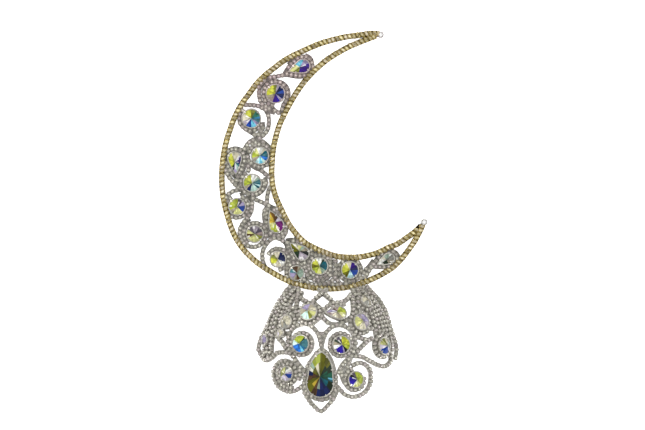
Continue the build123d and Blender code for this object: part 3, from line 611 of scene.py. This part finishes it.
def buildAuroraGroup():
    # the foiled back seen through a stone: its turn round the middle, a mosaic of back facets painted
    # brighter or darker at random as painted reflections, the crown's own facets painted lighter or
    # darker by the way they face as painted light, and masks for painted glints, the core, the heart
    # and the stone's back
    group, given, result = newGroup(
        "auroraFacets",
        {"Across": "Vector", "Along": "Vector", "Axis": "Vector", "Centre": "Vector", "Seed": "Float"},
        {label: "Float" for label in ("Turn", "Shade", "Glint", "Core", "Heart", "Back")})
    normal = newNode(group, "NewGeometry").outputs["True Normal"]
    place = newNode(group, "TexCoord").outputs["Object"]
    local = newNode(group, "VectorMath", {0: place, 1: given["Centre"]},
                    operation="SUBTRACT").outputs[0]
    reach = attributeNode(group, "tone")

    def along(vector, label):
        return newNode(group, "VectorMath", {0: vector, 1: given[label]},
                       operation="DOT_PRODUCT").outputs["Value"]

    angle = mathNode(group, "ARCTAN2", along(local, "Along"), along(local, "Across"))
    turn = mathNode(group, "FRACT", mathNode(group, "DIVIDE", angle, 2 * math.pi))
    sector = mathNode(group, "FLOOR", mathNode(group, "MULTIPLY", turn, aurora["sectors"]))
    outer = mathNode(group, "GREATER_THAN", reach, aurora["ringReach"])
    ring = mathNode(group, "MULTIPLY", outer, aurora["ringSeed"])
    cell = mathNode(group, "ADD", mathNode(group, "ADD", sector, ring), given["Seed"])
    chance = chanceNode(group, cell)
    # painted reflections: each cell of back facets is painted brighter or darker at random
    paintedReflectionMosaic = rangeNode(group, chance, *aurora["paintedReflectionRange"])
    # painted light: crown facets lighter or darker by the way they face
    lean = mathNode(group, "ADD", along(normal, "Across"), along(normal, "Along"))
    paintedCrownLight = rangeNode(group, lean, *aurora["paintedCrownLightRange"])
    fill(group, result, {
        "Turn": turn,
        "Shade": mathNode(group, "MULTIPLY", paintedReflectionMosaic, paintedCrownLight),
        "Glint": mathNode(group, "GREATER_THAN", chance, aurora["glintAbove"]),
        "Core": mathNode(group, "LESS_THAN", reach, aurora["coreReach"]),
        "Heart": rangeNode(group, reach, *aurora["heartRange"]),
        "Back": mathNode(group, "LESS_THAN", along(normal, "Axis"), aurora["backBelow"])})
    return group


upperCastRange = (46 * mm, 66 * mm)


def buildCastGroup():
    # a cast that comes in towards the upper horn
    group, given, result = newGroup("upperCast", {"Colour": "Color", "Cast": "Color"},
                                    {"Colour": "Color"})
    place = splitNode(group, newNode(group, "TexCoord").outputs["Object"])
    share = rangeNode(group, place["Y"], *upperCastRange)
    cast = mixColours(group, 1.0, given["Colour"], given["Cast"], "MULTIPLY")
    fill(group, result, {"Colour": mixColours(group, share, given["Colour"], cast)})
    return group


platingGroup = buildPlatingGroup()
castGroup = buildCastGroup()
crystalGroup = buildCrystalGroup()
auroraGroup = buildAuroraGroup()


def newMaterial(name):
    material = bpy.data.materials.new(name)
    material.use_nodes = True
    return material, material.node_tree, material.node_tree.nodes["Principled BSDF"]


def effectNode(tree, group, inputs):
    return newNode(tree, "Group", inputs, node_tree=group).outputs


def withCast(tree, colour, cast):
    return effectNode(tree, castGroup, {"Colour": colour, "Cast": cast})["Colour"]


def platedMetal(name, bright, paintedShadeColour, blush, depth, metallic, cast=(1, 1, 1, 1)):
    material, tree, shader = newMaterial(name)
    effect = effectNode(tree, platingGroup,
                        {"Bright": bright, "PaintedShade": paintedShadeColour, "Blush": blush, "Depth": depth})
    bump = newNode(tree, "Bump", {"Strength": plating["bump"], "Distance": plating["bumpDepth"],
                                  "Height": effect["Height"]})
    fill(tree, shader, {"Base Color": withCast(tree, effect["Colour"], cast),
                        "Metallic": metallic, "Roughness": effect["Roughness"],
                        "Normal": bump.outputs["Normal"]})
    return material


def smallCrystals(name, pale, cast, shade, spread, upper=(1, 1, 1, 1)):
    material, tree, shader = newMaterial(name)
    effect = effectNode(tree, crystalGroup,
                        {"Pale": pale, "Cast": cast, "Shade": shade, "Spread": spread})
    fill(tree, shader, {"Base Color": withCast(tree, effect["Colour"], upper),
                        "Metallic": 0.2, "Roughness": effect["Roughness"],
                        "Coat Weight": 0.5, "Coat Roughness": 0.03})
    return material


def wedgeRamp(tree, turn, wedges):
    # colours round the middle, with a hard edge where one facet ends and the next begins
    ramp = newNode(tree, "ValToRGB", {"Fac": turn})
    ramp.color_ramp.interpolation = "CONSTANT"
    stops = ramp.color_ramp.elements
    start = 0
    for index, (end, label) in enumerate(wedges):
        stop = stops[index] if index < 2 else stops.new(start / 360)
        stop.position = start / 360
        stop.color = linear(label)
        start = end
    return ramp.outputs["Color"]


# how deep some stones' colours are, 1 where nothing is said
depths = {
    "moon_round_4": 1.1, "moon_drop_5": 0.86, "moon_round_8": 0.88, "moon_drop_15": 0.8,
    "hood_drop_1": 0.86, "hood_round_2": 1.1, "hood_round_4": 0.82, "hood_round_6": 1.14,
    "hood_round_12": 0.72,
}


def auroraGlass(name, stone, centre):
    across, along, axis = [tuple(stone["seat"].col[index].xyz) for index in range(3)]
    material, tree, shader = newMaterial(name)
    effect = effectNode(tree, auroraGroup,
                        {"Across": across, "Along": along, "Axis": axis, "Centre": tuple(centre),
                         "Seed": (stone["across"] * aurora["acrossSeed"]
                                  + centre.x * aurora["placeSeed"])})
    colour = wedgeRamp(tree, effect["Turn"], stone["wedges"])
    if stone["name"] in coreWedges:
        core = wedgeRamp(tree, effect["Turn"], coreWedges[stone["name"]])
        colour = mixColours(tree, effect["Core"], colour, core)
    depth = mathNode(tree, "MULTIPLY", effect["Shade"], depths.get(stone["name"], 1))
    shaded = mixColours(tree, 1.0, colour, depth, "MULTIPLY")
    # the heart: darker towards the middle, mixed towards the dark tint
    heart = mathNode(tree, "MULTIPLY", effect["Heart"], aurora["heartShare"])
    hearted = mixColours(tree, heart, shaded, linear("dark"))
    # painted glints: a few cells mixed towards white as painted highlights
    glint = mathNode(tree, "MULTIPLY", effect["Glint"], aurora["glintShare"])
    glinting = mixColours(tree, glint, hearted, linear("white"))
    fill(tree, shader, {"Base Color": mixColours(tree, effect["Back"], glinting, linear("grey")),
                        "Metallic": 0.0, "Roughness": 0.12, "Specular IOR Level": 0.12,
                        "Coat Weight": 0.12, "Coat Roughness": 0.01})
    return material


# each plating's name, bright colour, painted shade colour, blush, how fast the painted shade sets in,
# how metallic it is and, for silver, the upper cast
goldMetal = platedMetal("goldPlating", (0.54, 0.42, 0.13, 1), (0.025, 0.015, 0.003, 1),
                        (0.56, 0.44, 0.22, 1), 0.8, 0.8)
silverMetal = platedMetal("silverPlating", (0.50, 0.485, 0.43, 1), (0.10, 0.094, 0.078, 1),
                          (0.50, 0.455, 0.43, 1), 0.7, 0.6, (1.07, 0.94, 1.02, 1))
# each crystal material's pale colour, cast, the dark its painted sparkle and painted shade go to, how
# far the sparkle reaches, and for silver the upper cast
goldCrystals = smallCrystals("goldCrystals", (0.94, 0.84, 0.46, 1), (0.96, 0.87, 0.64, 1),
                             (0.08, 0.05, 0.01, 1), 0.9)
silverCrystals = smallCrystals("silverCrystals", (0.70, 0.68, 0.58, 1), (0.62, 0.55, 0.54, 1),
                               (0.12, 0.11, 0.09, 1), 0.8, (1.07, 0.94, 1.02, 1))
clearCrystal = smallCrystals("clearCrystal", (0.92, 0.92, 0.90, 1), (0.90, 0.90, 0.92, 1),
                             (0.5, 0.5, 0.5, 1), 0.5)
print("materials made")


# stones and their settings

# steps along a drop's side and round its end, how much faster its tip grows than its sides, from
# which share of the large drop's width it has that one's fullness, and points on a stone's edge
outlines = {"sideSteps": 8, "endSteps": 24, "tipGrow": 1.5, "bigFrom": 0.4, "edgePoints": 48}


def dropLoop(radius, reach, direction, grow, count):
    # smooth drop: a round end, and sides that run a little full to the tip
    size, tip = radius + grow, reach + grow * outlines["tipGrow"]
    lean = math.atan2(math.sqrt(max(tip ** 2 - size ** 2, 1e-9)), size)
    isBig = radius > outlines["bigFrom"] * sizes["bigDropAcross"]
    belly = size * sizes["bigBelly" if isBig else "smallBelly"]
    touch = Vector((size * math.cos(lean), size * math.sin(lean)))
    middle = Vector(((touch.x + tip) / 2 + belly, touch.y / 2 + belly))
    bend = middle * 2 - (touch + Vector((tip, 0))) / 2
    half = []
    for index in range(outlines["sideSteps"] + 1):
        t = index / outlines["sideSteps"]
        half.append((1 - t) ** 2 * Vector((tip, 0)) + 2 * t * (1 - t) * bend + t ** 2 * touch)
    for index in range(1, outlines["endSteps"] + 1):
        turn = lean + (math.pi - lean) * index / outlines["endSteps"]
        half.append(Vector((size * math.cos(turn), size * math.sin(turn))))
    outline = half + [Vector((point.x, -point.y)) for point in half[-2:0:-1]]
    return [spin(point, direction) for point in evenly(outline, count)]


def spin(point, degrees):
    turn = math.radians(degrees)
    return Vector((point.x * math.cos(turn) - point.y * math.sin(turn),
                   point.x * math.sin(turn) + point.y * math.cos(turn)))


def evenly(outline, count):
    # the same closed outline with points at an even spacing, starting at its first
    closed = outline + [outline[0]]
    lengths = [(after - before).length for before, after in zip(closed, closed[1:])]
    total = sum(lengths)
    points, reached, index = [], 0.0, 0
    for number in range(count):
        target = total * number / count
        while reached + lengths[index] < target:
            reached += lengths[index]
            index += 1
        share = (target - reached) / lengths[index]
        points.append(closed[index].lerp(closed[index + 1], share))
    return points


def stoneLoop(stone, grow, count):
    radius = stone["across"] / 2
    if stone["tip"]:
        return dropLoop(radius, stone["tip"] * stone["across"], stone["direction"], grow, count)
    turns = [2 * math.pi * index / count for index in range(count)]
    return [Vector(((radius + grow) * math.cos(turn), (radius + grow) * math.sin(turn)))
            for turn in turns]


def readStone(row, onHood):
    name, column, line, share, tip, direction, wedges = row
    across = (sizes["bigDropAcross"] if name == "hood_drop_1" else sizes["stoneAcross"]) * share
    x, y = gridPlace(column, line)
    if onHood:
        up = hoodNormal(x, y)
        origin = Vector((x, y, hoodHeight(x, y))) + up * sizes["seatLift"]
        base = -sizes["hoodBezel"]
    else:
        up = Vector((0, 0, 1))
        origin = Vector((x, y, sizes["bezelHeight"] - sizes["girdle"]))
        base = -origin.z
    across3 = Vector((0, 1, 0)).cross(up).normalized()
    along3 = up.cross(across3)
    seat = Matrix((across3, along3, up)).transposed().to_4x4()
    seat.translation = origin
    stone = {"name": name, "across": across, "tip": tip, "direction": direction,
             "wedges": wedges, "seat": seat, "base": base, "onHood": onHood}
    stone["back"] = seat.inverted()
    stone["loop"] = stoneLoop(stone, 0, outlines["edgePoints"])
    return stone


stones = [readStone(row, False) for row in moonStones]
stones += [readStone(row, True) for row in hoodStones]

cut = {"girdlePoints": 16, "table": 0.26, "break": 0.68, "culet": 0.10, "tipShift": 0.22}


def cutStone(stone):
    # brilliant cut: table, star facets, kites, girdle facets and a pointed back
    count = cut["girdlePoints"]
    girdleLoop = stoneLoop(stone, 0, count)
    turn = math.radians(stone["direction"])
    shift = stone["tip"] * stone["across"] * cut["tipShift"]
    centre = Vector((math.cos(turn), math.sin(turn))) * shift
    size = stone["across"] / sizes["stoneAcross"]
    rise, depth = sizes["stoneRise"] * size, sizes["stoneDepth"] * size
    breakShare = (1 - cut["break"] * math.cos(2 * math.pi / count)) / (1 - cut["table"])
    breakRise = rise * breakShare
    points = []
    for share, height in ((1, 0), (1, sizes["girdle"])):
        points += [(*(centre + (point - centre) * share), height) for point in girdleLoop]
    top = sizes["girdle"] + rise
    middle = sizes["girdle"] + breakRise
    for share, height, first in ((cut["break"], middle, 1), (cut["table"], top, 0)):
        points += [(*(centre + (point - centre) * share), height) for point in girdleLoop[first::2]]
    points += [(*(centre + (point - centre) * cut["culet"]), -depth) for point in girdleLoop[::2]]
    upper, star, table, culet = count, 2 * count, 2 * count + count // 2, 3 * count
    faces = [[table + index for index in range(count // 2)]]
    faces += [[culet + index for index in range(count // 2)]]
    for index in range(count):
        faces.append([index, (index + 1) % count, upper + (index + 1) % count, upper + index])
    for index in range(count // 2):
        low, side, after = 2 * index, 2 * index + 1, (2 * index + 2) % count
        following = (index + 1) % (count // 2)
        previous = (index - 1) % (count // 2)
        faces.append([table + index, star + previous, upper + low, star + index])
        faces.append([table + index, star + index, table + following])
        faces.append([star + index, upper + low, upper + side])
        faces.append([star + index, upper + side, upper + after])
        faces.append([culet + index, culet + following, after, side, low])
    shape = emptyShape()
    addShape(shape, closedShape(points, faces), stone["seat"])
    shares = [1] * (2 * count) + [cut["break"]] * (count // 2) + [cut["table"]] * (count // 2)
    shape["tone"] = shares + [cut["culet"]] * (count // 2)
    middle = stone["seat"] @ Vector((*centre, 0))
    material = auroraGlass("aurora_" + stone["name"], stone, middle)
    piece = makePiece("cut_" + stone["name"], shape, material, sharp=1)
    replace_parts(piece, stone["name"])


setting = {"sides": 36, "lip": 0.12 * mm, "lowRise": 0.3, "moreRise": 0.35, "wallTone": 0.6,
           "clawWidth": 0.42 * mm, "clawReach": 0.62 * mm, "clawRise": 0.9, "clawTone": 0.5,
           "claws": 4, "bigClaws": 8, "bigFrom": 1.2}


def settingFor(target, stone):
    # a wall with a rolled lip round the stone, a ledge under its girdle, and claws over its edge
    base, top = stone["base"], sizes["girdle"]
    outer = sizes["stoneGap"] + sizes["bezelWall"]
    steps = [
        (outer - 0.1 * mm, base), (outer, base + 0.25 * mm), (outer, top - 0.1 * mm),
        (outer - 0.08 * mm, top + 0.1 * mm), (outer * 0.5, top + 0.19 * mm),
        (-setting["lip"], top + 0.2 * mm), (-setting["lip"], top + 0.12 * mm),
        (sizes["stoneGap"] * 0.5, top), (sizes["stoneGap"] * 0.5, -0.15 * mm),
        (-0.5 * mm, -0.5 * mm), (-0.5 * mm, -0.8 * mm), (0, base),
    ]
    loops = [[(*point, height) for point in stoneLoop(stone, grow, setting["sides"])]
             for grow, height in steps]
    shape = loftLoops(loops, closed=True)
    # the wall's rise runs from its foot to its lip, and the plating turns it into painted shade
    # towards the foot; the claws' rise keeps them lit
    shares = [max(0, min(1, (point.z - base) / (top - base))) for point in shape["points"]]
    shape["rise"] = [setting["lowRise"] + setting["moreRise"] * share for share in shares]
    addShape(target, shape, stone["seat"], tone=random.random() * setting["wallTone"])
    finger = claw([(outer + 0.05 * mm, top - 0.8 * mm, setting["clawWidth"], 0.1 * mm),
                   (outer, top + 0.18 * mm, setting["clawWidth"] * 0.9, 0.11 * mm),
                   (-0.1 * mm, top + 0.42 * mm, setting["clawWidth"] * 0.75, 0.1 * mm),
                   (-setting["clawReach"], top + 0.62 * mm, setting["clawWidth"] * 0.5, 0.07 * mm)])
    finger["rise"] = [setting["clawRise"]] * len(finger["points"])
    isBig = stone["across"] > sizes["stoneAcross"] * setting["bigFrom"]
    number = setting["bigClaws" if isBig else "claws"]
    edge = stoneLoop(stone, 0, number * 2)
    for index in range(1, number * 2, 2):
        before, after = edge[index - 1], edge[(index + 1) % (number * 2)]
        out = Vector((after.y - before.y, before.x - after.x)).normalized()
        turn = Matrix.Rotation(math.atan2(out.y, out.x), 4, "Z")
        addShape(target, finger, stone["seat"] @ Matrix.Translation((*edge[index], 0)) @ turn,
                 tone=random.random() * setting["clawTone"])


for stone in stones:
    cutStone(stone)
print("stones cut:", len(stones))


# cup chain

cup = {
    "pitch": 2.1 * mm, "sides": 12, "fullness": 2.7, "stripShare": 0.84, "stripHeight": 0.9 * mm,
    "stripDrop": 0.12 * mm, "stripLift": 0.04 * mm, "stripRoom": 0.5 * mm, "twist": 6, "tilt": 5,
    "stripTone": 0.3, "stoneRoom": 1.0 * mm, "crowding": 0.70, "cell": 3 * mm, "crystalSides": 8,
    "farShare": 1.6, "farHeight": 6 * mm,
}
# spacing of a route's points, how many of them a strip and a cup's direction step over, how a
# ring round a stone is laid out, and in how many steps its points come down on the hood's face
route = {"step": 0.12 * mm, "stripStride": 9, "reach": 3, "ringTurn": 24, "leastTurns": 4,
         "dropPoints": 20, "dropSteps": 4}
# radius and height of each loop; the heights are also the rise, so the platings paint shade low in
# each cup and each crystal
cupProfile = [(0.60, 0.14), (0.90, 0.20), (1.0, 0.40), (1.0, 0.70), (0.95, 0.76), (0.85, 0.75),
              (0.80, 0.55)]
crystalProfile = [(0.60, 0.50), (0.84, 0.70), (0.84, 0.74), (0.47, 0.97)]
prongStations = [(1.02, 0.44, 0.20, 0.06), (0.99, 0.80, 0.19, 0.06), (0.68, 0.95, 0.12, 0.05)]

cupShape = emptyShape()
addShape(cupShape, squareLathe(cupProfile, cup["sides"], cup["fullness"]), Matrix())
prong = claw(prongStations)
for quarter in range(4):
    addShape(cupShape, prong, Matrix.Rotation(math.radians(45 + 90 * quarter), 4, "Z"))
cupShape["points"] = [Vector(point) for point in cupShape["points"]]

crystalLoops = []
for radius, height in crystalProfile:
    # the table's corners stand over the middles of the other loops' edges
    offset = 0.5 if radius == crystalProfile[-1][0] else 0
    turns = [2 * math.pi * (index + offset) / cup["crystalSides"]
             for index in range(cup["crystalSides"])]
    crystalLoops.append([(radius * math.cos(turn), radius * math.sin(turn), height)
                         for turn in turns])
crystalShape = loftLoops(crystalLoops)


def traceRoute(points, face):
    # close points along a smooth curve through the chosen ones, on the face that carries them
    ends = [points[0], *points, points[-1]]
    plan = []
    for before, start, end, after in zip(ends, ends[1:], ends[2:], ends[3:]):
        count = max(2, math.ceil(math.dist(start, end) / route["step"]))
        for index in range(count):
            t = index / count
            plan.append([0.5 * (2 * b + (c - a) * t + (2 * a - 5 * b + 4 * c - d) * t ** 2)
                         + 0.5 * (3 * b - a - 3 * c + d) * t ** 3
                         for a, b, c, d in zip(before, start, end, after)])
    plan.append(points[-1])
    return [face(x, y) for x, y in plan]


def walkRoute(trace, pitch, height):
    # places at an even pitch, each with its up and along directions
    middles = [place + up * height / 2 for place, up in trace]
    steps = [(after - before).length for before, after in zip(middles, middles[1:])]
    total = sum(steps)
    count = max(1, round(total / pitch))
    places, reached, index = [], 0.0, 0
    for number in range(count):
        target = total * (number + 0.5) / count
        while reached + steps[index] < target:
            reached += steps[index]
            index += 1
        share = (target - reached) / max(steps[index], 1e-9)
        place = trace[index][0].lerp(trace[index + 1][0], share)
        up = trace[index][1].lerp(trace[index + 1][1], share).normalized()
        low = max(index - route["reach"], 0)
        high = min(index + route["reach"] + 1, len(middles) - 1)
        along = middles[high] - middles[low]
        along = (along - up * along.dot(up)).normalized()
        places.append((place, up, along))
    return places


def stoneClearance(point, onHood):
    # distance from the nearest stone's edge, negative inside it
    nearest = 1.0
    for stone in stones:
        if stone["onHood"] != onHood:
            continue
        local = stone["back"] @ point
        isFar = local.xy.length > stone["across"] * cup["farShare"]
        if isFar or abs(local.z) > cup["farHeight"]:
            continue
        flat = local.xy
        loop = stone["loop"]
        distance, inside = 1.0, False
        for before, after in zip(loop, loop[1:] + loop[:1]):
            edge = after - before
            share = max(0, min(1, (flat - before).dot(edge) / edge.length_squared))
            distance = min(distance, (before + edge * share - flat).length)
            if (before.y > flat.y) != (after.y > flat.y):
                if flat.x < before.x + (flat.y - before.y) / (after.y - before.y) * edge.x:
                    inside = not inside
        nearest = min(nearest, -distance if inside else distance)
    return nearest


taken = {}


def isFree(place, reach):
    # whether no cup stands this near; the place is then taken
    cell = tuple(int(part // cup["cell"]) for part in place)
    for step in itertools.product((-1, 0, 1), repeat=3):
        near = tuple(part + more for part, more in zip(cell, step))
        if any((other - place).length < reach for other in taken.get(near, ())):
            return False
    taken.setdefault(cell, []).append(place)
    return True


def addStrip(target, trace, onHood, width, height, shade):
    # the flat metal that carries the cups, cut short where it would pass under a stone
    runs, run = [], []
    for place, up in trace[::route["stripStride"]] + [trace[-1]]:
        if stoneClearance(place + up * height, onHood) > cup["stripRoom"]:
            run.append((place, up))
        else:
            runs.append(run)
            run = []
    runs.append(run)
    for run in runs:
        if len(run) < 3:
            continue
        loops = []
        for index, (place, up) in enumerate(run):
            along = run[min(index + 1, len(run) - 1)][0] - run[max(index - 1, 0)][0]
            if along.length < 1e-7:
                continue
            side = up.cross(along).normalized() * width / 2
            low, high = place + up * cup["stripLift"], place + up * height
            loops.append([low - side, low + side, high + side, high - side])
        # the strip's rise is its painted shade level: the plating paints it dark, as painted shade
        # between the cups
        addShape(target, loftLoops(loops), Matrix(), tone=cup["stripTone"], rise=shade)


def addChain(metal, crystals, trace, onHood, width, height, look):
    low = cup["stripHeight"] - random.random() * cup["stripDrop"]
    addStrip(metal, trace, onHood, width * cup["stripShare"], low, look["paintedStripShade"])
    for place, up, along in walkRoute(trace, cup["pitch"], height):
        if stoneClearance(place + up * height, onHood) < cup["stoneRoom"]:
            continue
        if not isFree(place, cup["pitch"] * cup["crowding"]):
            continue
        side = up.cross(along)
        matrix = Matrix((along, side, up)).transposed().to_4x4()
        matrix.translation = place
        twist = look["turn"] + random.uniform(-1, 1) * cup["twist"]
        turned = (Matrix.Rotation(math.radians(twist), 4, "Z")
                  @ Matrix.Rotation(math.radians(random.uniform(-1, 1) * cup["tilt"]), 4, "X")
                  @ Matrix.Rotation(math.radians(random.uniform(-1, 1) * cup["tilt"]), 4, "Y"))
        scale = Matrix.Diagonal((look["along"], width / 2 * look["across"], height, 1))
        tone = random.random()
        addShape(metal, cupShape, matrix @ turned @ scale, tone)
        addShape(crystals, crystalShape, matrix @ turned @ scale, tone)


def droppedPlace(stone, point):
    # plan place where a point beside a stone, square to its seat, meets the hood's face
    place = stone["seat"] @ Vector((*point, 0))
    up = stone["seat"].col[2].xyz
    if stone["onHood"]:
        for _ in range(route["dropSteps"]):
            place -= up * (place.z - hoodHeight(place.x, place.y)) * up.z
    return place.x, place.y


ringGrow = sizes["stoneGap"] + sizes["bezelWall"] + sizes["chainWidth"] / 2 - sizes["ringTuck"]


def ringTrace(stone, start, end, face):
    reach = stone["across"] / 2 + ringGrow
    count = max(route["leastTurns"], math.ceil(abs(end - start) / route["ringTurn"]))
    turns = [math.radians(start + (end - start) * index / count) for index in range(count + 1)]
    return traceRoute([droppedPlace(stone, (reach * math.cos(turn), reach * math.sin(turn)))
                       for turn in turns], face)


def dropTrace(stone, face):
    loop = stoneLoop(stone, ringGrow, route["dropPoints"])
    return traceRoute([droppedPlace(stone, point) for point in loop + loop[:1]], face)


def dressArea(name, routes, rings, numbered, face, finish, width, height):
    # one area's chains in two pieces, its metal with the stones' settings and its crystals
    metalShape, crystals = emptyShape(), emptyShape()
    traces = [ringTrace(numbered[number - 1], start, end, face) for number, start, end in rings]
    traces += [dropTrace(stone, face) for stone in numbered
               if stone["tip"] > sizes["ringedTip"] and stone["across"] < sizes["bigDropAcross"]]
    traces += [traceRoute([gridPlace(*point) for point in points], face) for points in routes]
    for trace in traces:
        addChain(metalShape, crystals, trace, face is hoodFace, width, height, finish)
    for stone in numbered:
        settingFor(metalShape, stone)
    chain = makePiece(name + "_cups", metalShape, finish["metal"])
    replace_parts(chain, name)
    makePiece(name + "_crystals", crystals, finish["crystals"], sharp=1)
    print(name, "has", len(crystals["points"]) // len(crystalShape["points"]), "cups")


moonOnes = [stone for stone in stones if not stone["onHood"]]
hoodOnes = [stone for stone in stones if stone["onHood"]]
# each chain's materials, how bright its painted shade leaves the strip under its cups, and how its
# cups sit on it
goldFinish = {"metal": goldMetal, "crystals": goldCrystals, "slot": "gold_chain", "paintedStripShade": 0.05,
              "turn": 30, "along": 0.96 * mm, "across": 0.93}
silverFinish = {"metal": silverMetal, "crystals": silverCrystals, "slot": "silver_chain",
                "turn": 0, "along": 1.0 * mm, "across": 1.0}
moonFinish = {**silverFinish, "paintedStripShade": 0.15}
hoodFinish = {**silverFinish, "paintedStripShade": 0.42}
dressArea("moon_rim", rimRoutes, [], [], moonFace, goldFinish, sizes["rimWidth"],
          sizes["rimHeight"])
dressArea("moon_scrolls", moonRoutes, moonRings, moonOnes, moonFace, moonFinish,
          sizes["chainWidth"], sizes["chainHeight"])
dressArea("hood_scrolls", hoodRoutes, hoodRings, hoodOnes, hoodFace, hoodFinish,
          sizes["chainWidth"], sizes["chainHeight"])

# a larger cup with a clear crystal closes each horn of the moon
hornCap = {"places": {"horn_cap_upper": (380.6, 34.8), "horn_cap_lower": (424.2, 222.2)},
           "across": 3.2 * mm, "height": 2.8 * mm, "metalTone": 0.2, "crystalTone": 0.5}
for name, place in hornCap["places"].items():
    x, y = gridPlace(*place)
    half = hornCap["across"] / 2
    matrix = Matrix.Translation((x, y, 0)) @ Matrix.Diagonal((half, half, hornCap["height"], 1))
    cupPart, crystalPart = emptyShape(), emptyShape()
    addShape(cupPart, cupShape, matrix, hornCap["metalTone"])
    addShape(crystalPart, crystalShape, matrix, hornCap["crystalTone"])
    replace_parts(makePiece(name + "_cup", cupPart, silverMetal), name)
    makePiece(name + "_crystal", crystalPart, clearCrystal, sharp=1)
print("chains laid")

# floor, light and camera

studio = {
    "floorHalf": 8.0, "floorColour": (0.92, 0.92, 0.92, 1), "floorShade": (0.90, 0.90, 0.90, 1),
    "floorNoise": (30.0, 2.0), "floorRange": (0.3, 0.7), "floorGlow": 0.95,
    "zenith": 0.95, "horizon": 0.50, "zenithFrom": 0.8,
    "distance": 4.0, "frameWidth": 645, "frameMidColumn": 322.5, "frameMidRow": 215.0,
}


def makeFloor():
    half = studio["floorHalf"]
    mesh = bpy.data.meshes.new("floor")
    mesh.from_pydata([(-half, -half, 0), (half, -half, 0), (half, half, 0), (-half, half, 0)], [],
                     [(0, 1, 2, 3)])
    material, tree, shader = newMaterial("paleFloor")
    shade = rangeNode(tree, noiseNode(tree, *studio["floorNoise"]), *studio["floorRange"])
    fill(tree, shader, {
        "Base Color": mixColours(tree, shade, studio["floorColour"], studio["floorShade"]),
        "Roughness": 0.9, "Specular IOR Level": 0.1, "Emission Color": (1, 1, 1, 1),
        "Emission Strength": studio["floorGlow"]})
    mesh.materials.append(material)
    addObject("floor", mesh)


def makeSky():
    world = bpy.data.worlds.new("studio")
    bpy.context.scene.world = world
    world.use_nodes = True
    tree = world.node_tree
    up = splitNode(tree, newNode(tree, "TexCoord").outputs["Generated"])["Z"]
    ramp = newNode(tree, "ValToRGB", {"Fac": up})
    stops = ramp.color_ramp.elements
    stops[0].position, stops[0].color = 0.0, (studio["horizon"],) * 3 + (1,)
    stops[1].position, stops[1].color = studio["zenithFrom"], (studio["zenith"],) * 3 + (1,)
    fill(tree, tree.nodes["Background"], {"Color": ramp.outputs["Color"]})


def makeLamp(name, place, size, power, colour):
    lamp = bpy.data.lights.new(name, "AREA")
    lamp.size, lamp.energy, lamp.color = size, power, colour
    holder = addObject(name, lamp)
    holder.location = place
    holder.rotation_euler = (-Vector(place)).to_track_quat("-Z", "Y").to_euler()
    holder.visible_camera = False


def makeCamera():
    data = bpy.data.cameras.new("camera")
    data.sensor_width = 36
    width = studio["frameWidth"] * drawing["unit"]
    data.lens = data.sensor_width * (studio["distance"] - sizes["chainHeight"]) / width
    data.clip_end = 100
    holder = addObject("camera", data)
    x, y = gridPlace(studio["frameMidColumn"], studio["frameMidRow"])
    holder.location = (x, y, studio["distance"])
    bpy.context.scene.camera = holder


makeFloor()
makeSky()
# each lamp's name, place, size, power and colour
for lamp in (("keyLamp", (-0.9, 0.8, 1.1), 1.1, 9.0, (1.0, 0.98, 0.95)),
             ("fillLamp", (1.1, 0.1, 0.9), 1.0, 3.0, (0.95, 0.97, 1.0)),
             ("sparkLamp", (0.25, -0.55, 0.9), 0.10, 1.2, (1.0, 0.97, 0.94))):
    makeLamp(*lamp)
makeCamera()
bpy.context.scene.view_settings.view_transform = "Standard"
print("studio set")
